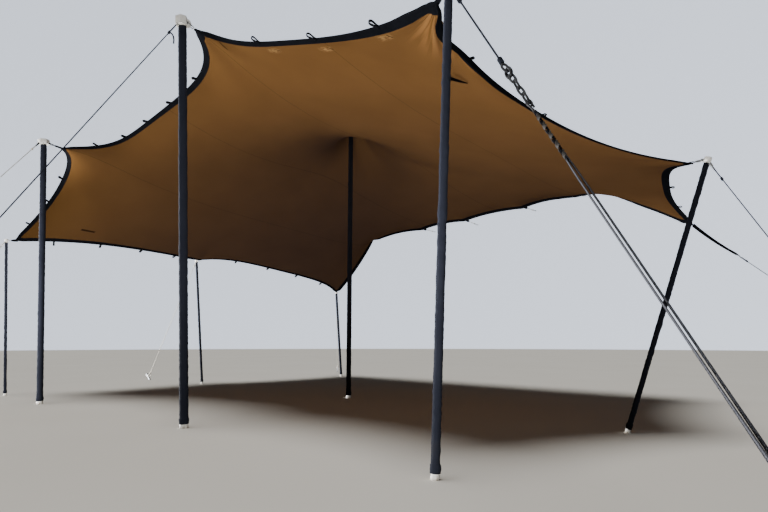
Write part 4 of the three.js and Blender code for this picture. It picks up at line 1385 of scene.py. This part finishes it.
def rope(width, length):
    """A rope of three strands laid together, up the Z axis from the origin"""
    turns = max(round(length / ROPE_LAY), 1)
    piece = added(bpy.ops.mesh.primitive_circle_add, vertices=12, radius=width / 2)
    for point in piece.data.vertices:
        angle = math.atan2(point.co.y, point.co.x)
        point.co *= 0.86 + 0.14 * math.cos(3 * angle)
    finished(
        piece, "SCREW", axis="Z", angle=2 * math.pi, screw_offset=length / turns,
        iterations=turns, steps=10, render_steps=10, use_smooth_shade=True,
    )
    return welded(piece)


def whipping(width, turns):
    """Turns of rope wound tightly round a rope, up the Z axis from the origin"""
    around = arc(0, 0, width * 0.72, 0, 360 * turns, 8 * turns + 1)
    points = [(x, y, width * 0.92 * k / 8) for k, (x, y, _) in enumerate(around)]
    return drawn_curve(
        [points], False, "BEZIER", dimensions="3D", bevel_depth=width * 0.46,
        bevel_resolution=2, resolution_u=2, use_fill_caps=True,
    )


def eye(width, from_z, to_z, half):
    """A closed eye of rope in the X-Z plane"""
    one_side = [(0.8, 0.25), (1, 0.6), (0.7, 0.9)]
    other_side = [(-aside, up) for aside, up in one_side[::-1]]
    outline = [(0, 0), *one_side, (0, 1), *other_side]
    points = [(half * aside, 0, from_z + (to_z - from_z) * up) for aside, up in outline]
    return bent_rod(points, width / 2, closed=True)


def rope_finish(name, low, high, tracer):
    """A rope's finish: fibres, wear and a few threads of another colour"""
    laid = Finish(name)
    spot = laid.solid_place()
    soil = laid.noise(spot, 6.0, 5.0)
    fibres = laid.noise(spot, 700.0, 3.0)
    threads = laid.step(laid.noise(spot, 90.0, 1.0), 0.62, 0.68)
    color = laid.mix(soil * 0.5 + fibres * 0.5, paint(low), paint(high))
    color = laid.mix(threads * 0.7, color, paint(tracer))
    return laid.close(color, 0.82 + fibres * 0.15, fibres, 0.0006, Specular_IOR_Level=0.1)


dark_rope_material = rope_finish("dark_laid_rope", "12151d", "292d38", "4a4f5a")
pale_rope_material = rope_finish("pale_laid_rope", "a9a498", "e6e2d6", "8f8a7e")
DARK_GUYS = ("front_inner_right", "front_right", "right_middle")
FRONT_RIGHT_KNOT = 1.100


def raised(piece, height):
    """Lifts a piece up the Z axis"""
    return put(piece, Matrix.Translation((0, 0, height)))


def guy(width, first, knot, stake_at):
    """A guy up the Z axis: an eye and its knot, the rope, and a knot and an eye at its stake"""
    pieces = [eye(width * 0.9, first, knot + width, width * 1.15), raised(whipping(width, 3), knot)]
    end = FRONT_RIGHT_KNOT
    if stake_at:
        beside = STAKE_WIDTH / 2 + width / 2
        end = stake_at - STAKE_WIDTH / 2 - width * LOWER_KNOT
        pieces.append(eye(width, end - width, stake_at + beside + 0.003, beside + 0.006))
    pieces.append(raised(whipping(width, 4), end - width * 3))
    pieces.append(raised(rope(width, end - knot), knot))
    return joined(pieces)


for name, (middle, way, lean, far) in guys.items():
    width, first = EDGE_POLES[name]["rope"], eyes_from[name]
    knot = first + LONG_EYES.get(name, EYE_LENGTH)
    line = guy(width, first, knot, None if name == "front_right" else far)
    put(line, along_line(middle, way))
    if name == FREE_END_AT:
        start, inwards = middle + way * (knot + width), Vector((0.3, 0.95, 0))
        path = [start + inwards * out + Vector((0, 0, -fall)) for out, fall in FREE_END]
        line = joined([line, bent_rod(path, width * 0.6)])
    look, slot = pale_rope_material, "pale_rope"
    if name in DARK_GUYS:
        look, slot = dark_rope_material, "dark_rope"
    dress(line, f"{name}_guy", look, slot, f"{name}_guy_rope")


# The front right tackle
# The front right rope ends in a row of links and a hook. A black and a grey strap are
# twisted together below it, and a charcoal strap runs doubled from there to the stake and
# round it.
HOOK = {"from": 1.575, "length": 0.120, "rod": 0.0065}
TWIST = {"from": 1.640, "to": 2.120, "turns": 5.5, "radius": 0.0085, "thickness": 0.0028}
LEGS = {"width": 0.023, "thickness": 0.0030, "turned": 24, "wound": 55, "round_stake": 0.027}
# Each link: where it starts, its length, its half width, its rod and its turn in degrees
LINKS = [
    (1.122, 0.084, 0.0150, 0.0085, 20), (1.188, 0.072, 0.024, 0.0110, 95),
    (1.246, 0.088, 0.0135, 0.0080, 35), (1.318, 0.088, 0.0125, 0.0075, 110),
    (1.391, 0.088, 0.0120, 0.0075, 30), (1.464, 0.088, 0.0120, 0.0075, 105),
    (1.537, 0.060, 0.0120, 0.0065, 40),
]

front_middle, front_way, _, front_far = guys["front_right"]
front_guy = along_line(front_middle, front_way)
tackle = []
for start, length, half, rod, turn in LINKS:
    low, high = start + half, start + length - half
    ends = [*arc(0, low, half, -90, 0, 3), *arc(0, high, half, 0, 180, 5),
            *arc(0, low, half, 180, 225, 2)]
    link = bent_rod([(x, 0, z) for x, z, _ in ends], rod, closed=True)
    put(link, front_guy @ Matrix.Rotation(math.radians(turn), 4, "Z"))
    tackle.append(coated(link, black_steel_material))


def bent_hook(outline, start, rod):
    """A hook of round rod in the X-Z plane, whose outline starts at a height"""
    return bent_rod([(x, 0, start + up) for x, up in outline], rod)


long = HOOK["length"]
outline = [(0.018, 0.028), (0.017, 0.004), (0, -0.010), (-0.016, 0.006), (-0.010, 0.040),
           (0, long * 0.62), (0.004, long)]
hook = put(bent_hook(outline, HOOK["from"], HOOK["rod"]), front_guy)
tackle.append(coated(hook, black_steel_material))


def close_strap(finish, along, from_edge, color, worn):
    """Ends the material of a ribbed strap"""
    ribs = along.wave(0.0024) * from_edge.wave(0.0030)
    return finish.close(color, 0.75 + worn * 0.15, ribs * 0.4, 0.0005, Specular_IOR_Level=0.1)


grey_strap = Finish("grey_webbing")
along, from_edge, _ = grey_strap.place("UV")
worn = grey_strap.noise(grey_strap.solid_place(), 14.0, 5.0)
stitch = (abs(from_edge - 0.004) < 0.0005) * ((along % 0.0040) < 0.0028)
color = grey_strap.mix(worn, paint("2c2b29"), paint("4c4946"))
color = grey_strap.mix(stitch, color, paint("1c1b1a"))
grey_strap_material = close_strap(grey_strap, along, from_edge, color, worn)

# The phase, width and finish of the two straps that are twisted together
TWISTED = [(0, 0.016, webbing_material), (math.pi, 0.026, grey_strap_material)]
share = np.linspace(0, 1, 121)
for phase, wide, look in TWISTED:
    spin = share * 2 * math.pi * TWIST["turns"] + phase
    close = TWIST["radius"] * (1 + 0.15 * np.sin(spin * 0.7 + phase))
    height = TWIST["from"] + (TWIST["to"] - TWIST["from"]) * share
    path = np.stack([close * np.cos(spin), close * np.sin(spin), height], -1)
    radial = np.stack([np.cos(spin), np.sin(spin), 0 * spin], -1)
    across = unit(np.cross(unit(np.gradient(path, axis=0)), radial))
    taper = wide / 2 * np.clip(0.45 + 3 * np.minimum(share, 1 - share), 0, 1)
    wound = put(strap(path, across, taper, taper, TWIST["thickness"]), front_guy)
    tackle.append(coated(wound, look))
dress(joined(tackle), "front_right_tackle", None, "webbing", "front_right_lashing")

# The two legs lie side by side in a plane that turns a little on their way up
end, start = front_far, TWIST["to"]
leg = [(0.0035, 0, start - 0.06), (0.0080, 0, start + 0.05), (0.0092, 0, start + 0.20),
       (0.0088, 0, (start + end) / 2), (0.0085, 0, end - 0.55), (0.014, 0, end - 0.16),
       (0.026, 0, end - 0.05)]
bend = [(x, 0, z) for x, z, _ in arc(0, end, LEGS["round_stake"], 0, 180, 7)]
line = smooth_path([*leg, *bend, *((-x, y, z) for x, y, z in leg[::-1])], 201)
way_up = softened(1 - ramp(line[:, 2], end - 1.0, end - 0.10))
wound = way_up * math.radians(LEGS["wound"])
turned = np.pi / 2 - way_up * math.radians(LEGS["turned"]) + wound
sides = np.stack([np.cos(turned), np.sin(turned), 0 * turned], -1)
line = np.stack([line[:, 0] * np.cos(wound), line[:, 0] * np.sin(wound), line[:, 2]], -1)
legs = strap(line, sides, LEGS["width"] / 2, LEGS["width"] / 2, LEGS["thickness"])
put(legs, front_guy)
charcoal = Finish("charcoal_webbing")
along, from_edge, _ = charcoal.place("UV")
worn = charcoal.noise(charcoal.solid_place(), 18.0, 5.0)
# Painted highlight: the strap is painted lighter along its middle, with dark edges
color = charcoal.mix(charcoal.step(from_edge, 0.0055, 0.0085), paint("16171b"), paint("4b4c52"))
color = charcoal.mix(worn * 0.5, color, paint("2a2b30"))
charcoal_material = close_strap(charcoal, along, from_edge, color, worn)
dress(legs, "front_right_doubled_strap", charcoal_material, "webbing", "front_right_strap_loop")


# The rear right strap and its guy
# This corner has no pole. A black strap sewn into its tab carries a steel hook, and a thin
# dark rope runs from the hook to the stake.
FREE_STRAP = {"from": 0.060, "to": 0.850, "width": 0.062, "end_width": 0.034, "sag": 0.020}
FREE_HOOK = {"length": 0.110, "rod": 0.0076}
FREE_ROPE = 0.012

free_line = along_line(free_tip, free_way)
z0, z1 = FREE_STRAP["from"], FREE_STRAP["to"]
path = [(0.0040, 0, z0), (0.0035, 0, z0 + 0.12), (0.0025, 0, (z0 + z1) / 2), (0.0045, 0, z1 - 0.03),
        (0.0060, 0, z1 - 0.012), (0, 0, z1), (-0.0060, 0, z1 - 0.012), (-0.0045, 0, z1 - 0.03),
        (-0.0025, 0, z1 - 0.10)]
line = smooth_path(path, 91)
run = (line[:, 2] - z0) / (z1 - z0)
line[:, 1] -= FREE_STRAP["sag"] * np.sin(np.pi * run).clip(0)
narrow = np.clip(run, 0, 1)
half = (FREE_STRAP["width"] + (FREE_STRAP["end_width"] - FREE_STRAP["width"]) * narrow) / 2
ribbon = strap(line, [(0, 1, 0)] * len(line), half, half, 0.0032)
put(ribbon, free_line)
dress(ribbon, "rear_right_ribbon", webbing_material, "webbing", "rear_right_strap")

hook_at, long = z1 - 0.012, FREE_HOOK["length"]
outline = [(0.010, 0.040), (0.014, 0.016), (0.010, 0), (0, -0.005), (-0.012, 0.002),
           (-0.013, 0.030), (-0.002, long * 0.62), (0.012, long * 0.78), (0.010, long),
           (-0.004, long * 1.04), (-0.012, long * 0.90)]
hook = bent_hook(outline, hook_at, FREE_HOOK["rod"])
start = hook_at + long * 0.93
line = guy(FREE_ROPE, start, start + EYE_LENGTH, free_far)
parts = [coated(line, dark_rope_material), coated(hook, black_steel_material)]
line = put(joined(parts), free_line)
dress(line, "rear_right_guy", None, "dark_rope", "rear_right_guy_rope")


# The stakes
# Square steel pins, forged in one piece and driven into the ground square to their guys.
# Their heads have spread and dented under the hammer.
STAKE_LENGTH = 0.230
STAKE_HEAD = {"width": 0.058, "thickness": 0.014}

pin = added(bpy.ops.mesh.primitive_cube_add, size=1)
put(pin, Matrix.Diagonal((STAKE_WIDTH, STAKE_WIDTH, STAKE_LENGTH, 1)))
raised(pin, STAKE_LENGTH / 2)
cut_across(pin, STAKE_LENGTH - STAKE_HEAD["thickness"])
worked(
    pin, lambda face: abs(face.normal.z) < 0.5 and face.center.z > STAKE_LENGTH - 0.010,
    fattened((STAKE_HEAD["width"] - STAKE_WIDTH) / 2),
)
worked(
    pin, lambda face: face.normal.z > 0.9 and face.center.z > STAKE_LENGTH - 0.002,
    (bpy.ops.mesh.inset, {"thickness": 0.010}),
)
finished(pin, "BEVEL", width=0.0035, segments=3, angle_limit=0.5)
finished(pin, "SUBSURF", levels=1, render_levels=1)
# Each dent goes by its place, because the order of the corners may differ from run to run
spots = [tuple(round(share, 4) for share in point.co) for point in pin.data.vertices]
dents = np.random.default_rng(7).uniform(-0.0012, 0.0012, (len(spots), 2))
dent_at = dict(zip(sorted(set(spots)), dents))
for point, spot in zip(pin.data.vertices, spots):
    if point.co.z > STAKE_LENGTH - 0.012:
        point.co += Vector((*dent_at[spot], 0))
bpy.ops.object.shade_smooth_by_angle(angle=0.6)
stakes = {name: (EDGE_POLES[name]["stake"], guys[name][2]) for name in guys}
stakes["rear_right"] = (FREE_STAKE, free_lean)
for name, (ground, lean) in stakes.items():
    peg = copied(pin, along_line((*ground, 0), lean))
    stood_on_ground(peg, lean)
    dress(peg, f"{name}_pin", steel_material, "steel", f"{name}_stake")
bpy.data.objects.remove(pin)
bpy.data.objects.remove(loop)


# The rear ties
# Five short ropes pull the rear edge back and down. Each is knotted to a loop of the band
# and ends in a steel hook.
TIE = {"rope": 0.012, "to_hook": 0.330, "hook_rod": 0.0045}
TIE_HOOK = [
    (0.004, -0.010), (0, 0.014), (0.001, 0.040), (0.016, 0.058), (0.012, 0.082),
    (-0.006, 0.084), (-0.014, 0.066),
]
LOOP_REACH = 0.122
for n, share in enumerate(LOOPS["rear"][0]):
    width, z = TIE["rope"], TIE["to_hook"]
    lump = raised(whipping(width * 1.9, 3), 0.010)
    bight = eye(width * 1.3, -0.034, 0.040, 0.022)
    line = raised(rope(width, z - 0.05), 0.05)
    low = raised(whipping(width, 3), z - 0.045)
    hook = bent_hook(TIE_HOOK, z, TIE["hook_rod"])
    parts = [coated(part, dark_rope_material) for part in (lump, bight)]
    parts += [coated(part, pale_rope_material) for part in (line, low)]
    tie = joined([*parts, coated(hook, steel_material)])
    place = frame_at("rear", COLUMNS * share) @ Matrix.Translation((0, LOOP_REACH, 0))
    put(tie, place @ Matrix.Rotation(-math.pi / 2, 4, "X"))
    dress(tie, f"rear_tie_line_{n + 1}", None, "pale_rope", f"rear_tie_{n + 1}")


# The centre pad
# A thick disc of foam in a black cover sits on the centre pole, so that the cloth lies over
# it without a sharp edge. Its top is flat under the cloth and its rim is soft.
PAD_PROFILE = [
    (0.046, 0.000), (0.060, -0.004), (0.100, 0.006), (0.138, 0.020), (0.149, 0.034),
    (0.148, 0.046), (0.138, 0.062), (0.122, 0.077), (0.104, 0.087), (0.080, 0.0895), (0.0, 0.090),
]
PAD_SIDES = 72
profile = smooth_path([(r, 0, z) for r, z in PAD_PROFILE], 61)
turn = np.linspace(0, 2 * np.pi, PAD_SIDES + 1)
radius, height = profile[:, :1], profile[:, 2:]
soft = ramp(radius, 0.095, 0.145)
radius = radius * (1 + 0.010 * soft * np.sin(9 * turn + 0.7) * np.sin(4 * turn))
height = height + 0.0012 * soft * np.sin(13 * turn)
points = np.stack([radius * np.cos(turn), radius * np.sin(turn), height + CENTRE_TOP], -1)
flat = np.stack([turn * 0.15 + 0 * radius, height], -1)
pad = welded(laid_grid(points, flat))
finished(pad, "SUBSURF", levels=1, render_levels=1)
bpy.ops.object.shade_smooth()
dress(pad, "centre_pad", webbing_material, "webbing", "centre_head")

# The sizes of the CAD box and of the finished tent
size = {"cad": cad_box, "visual": [list(corner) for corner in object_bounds()]}
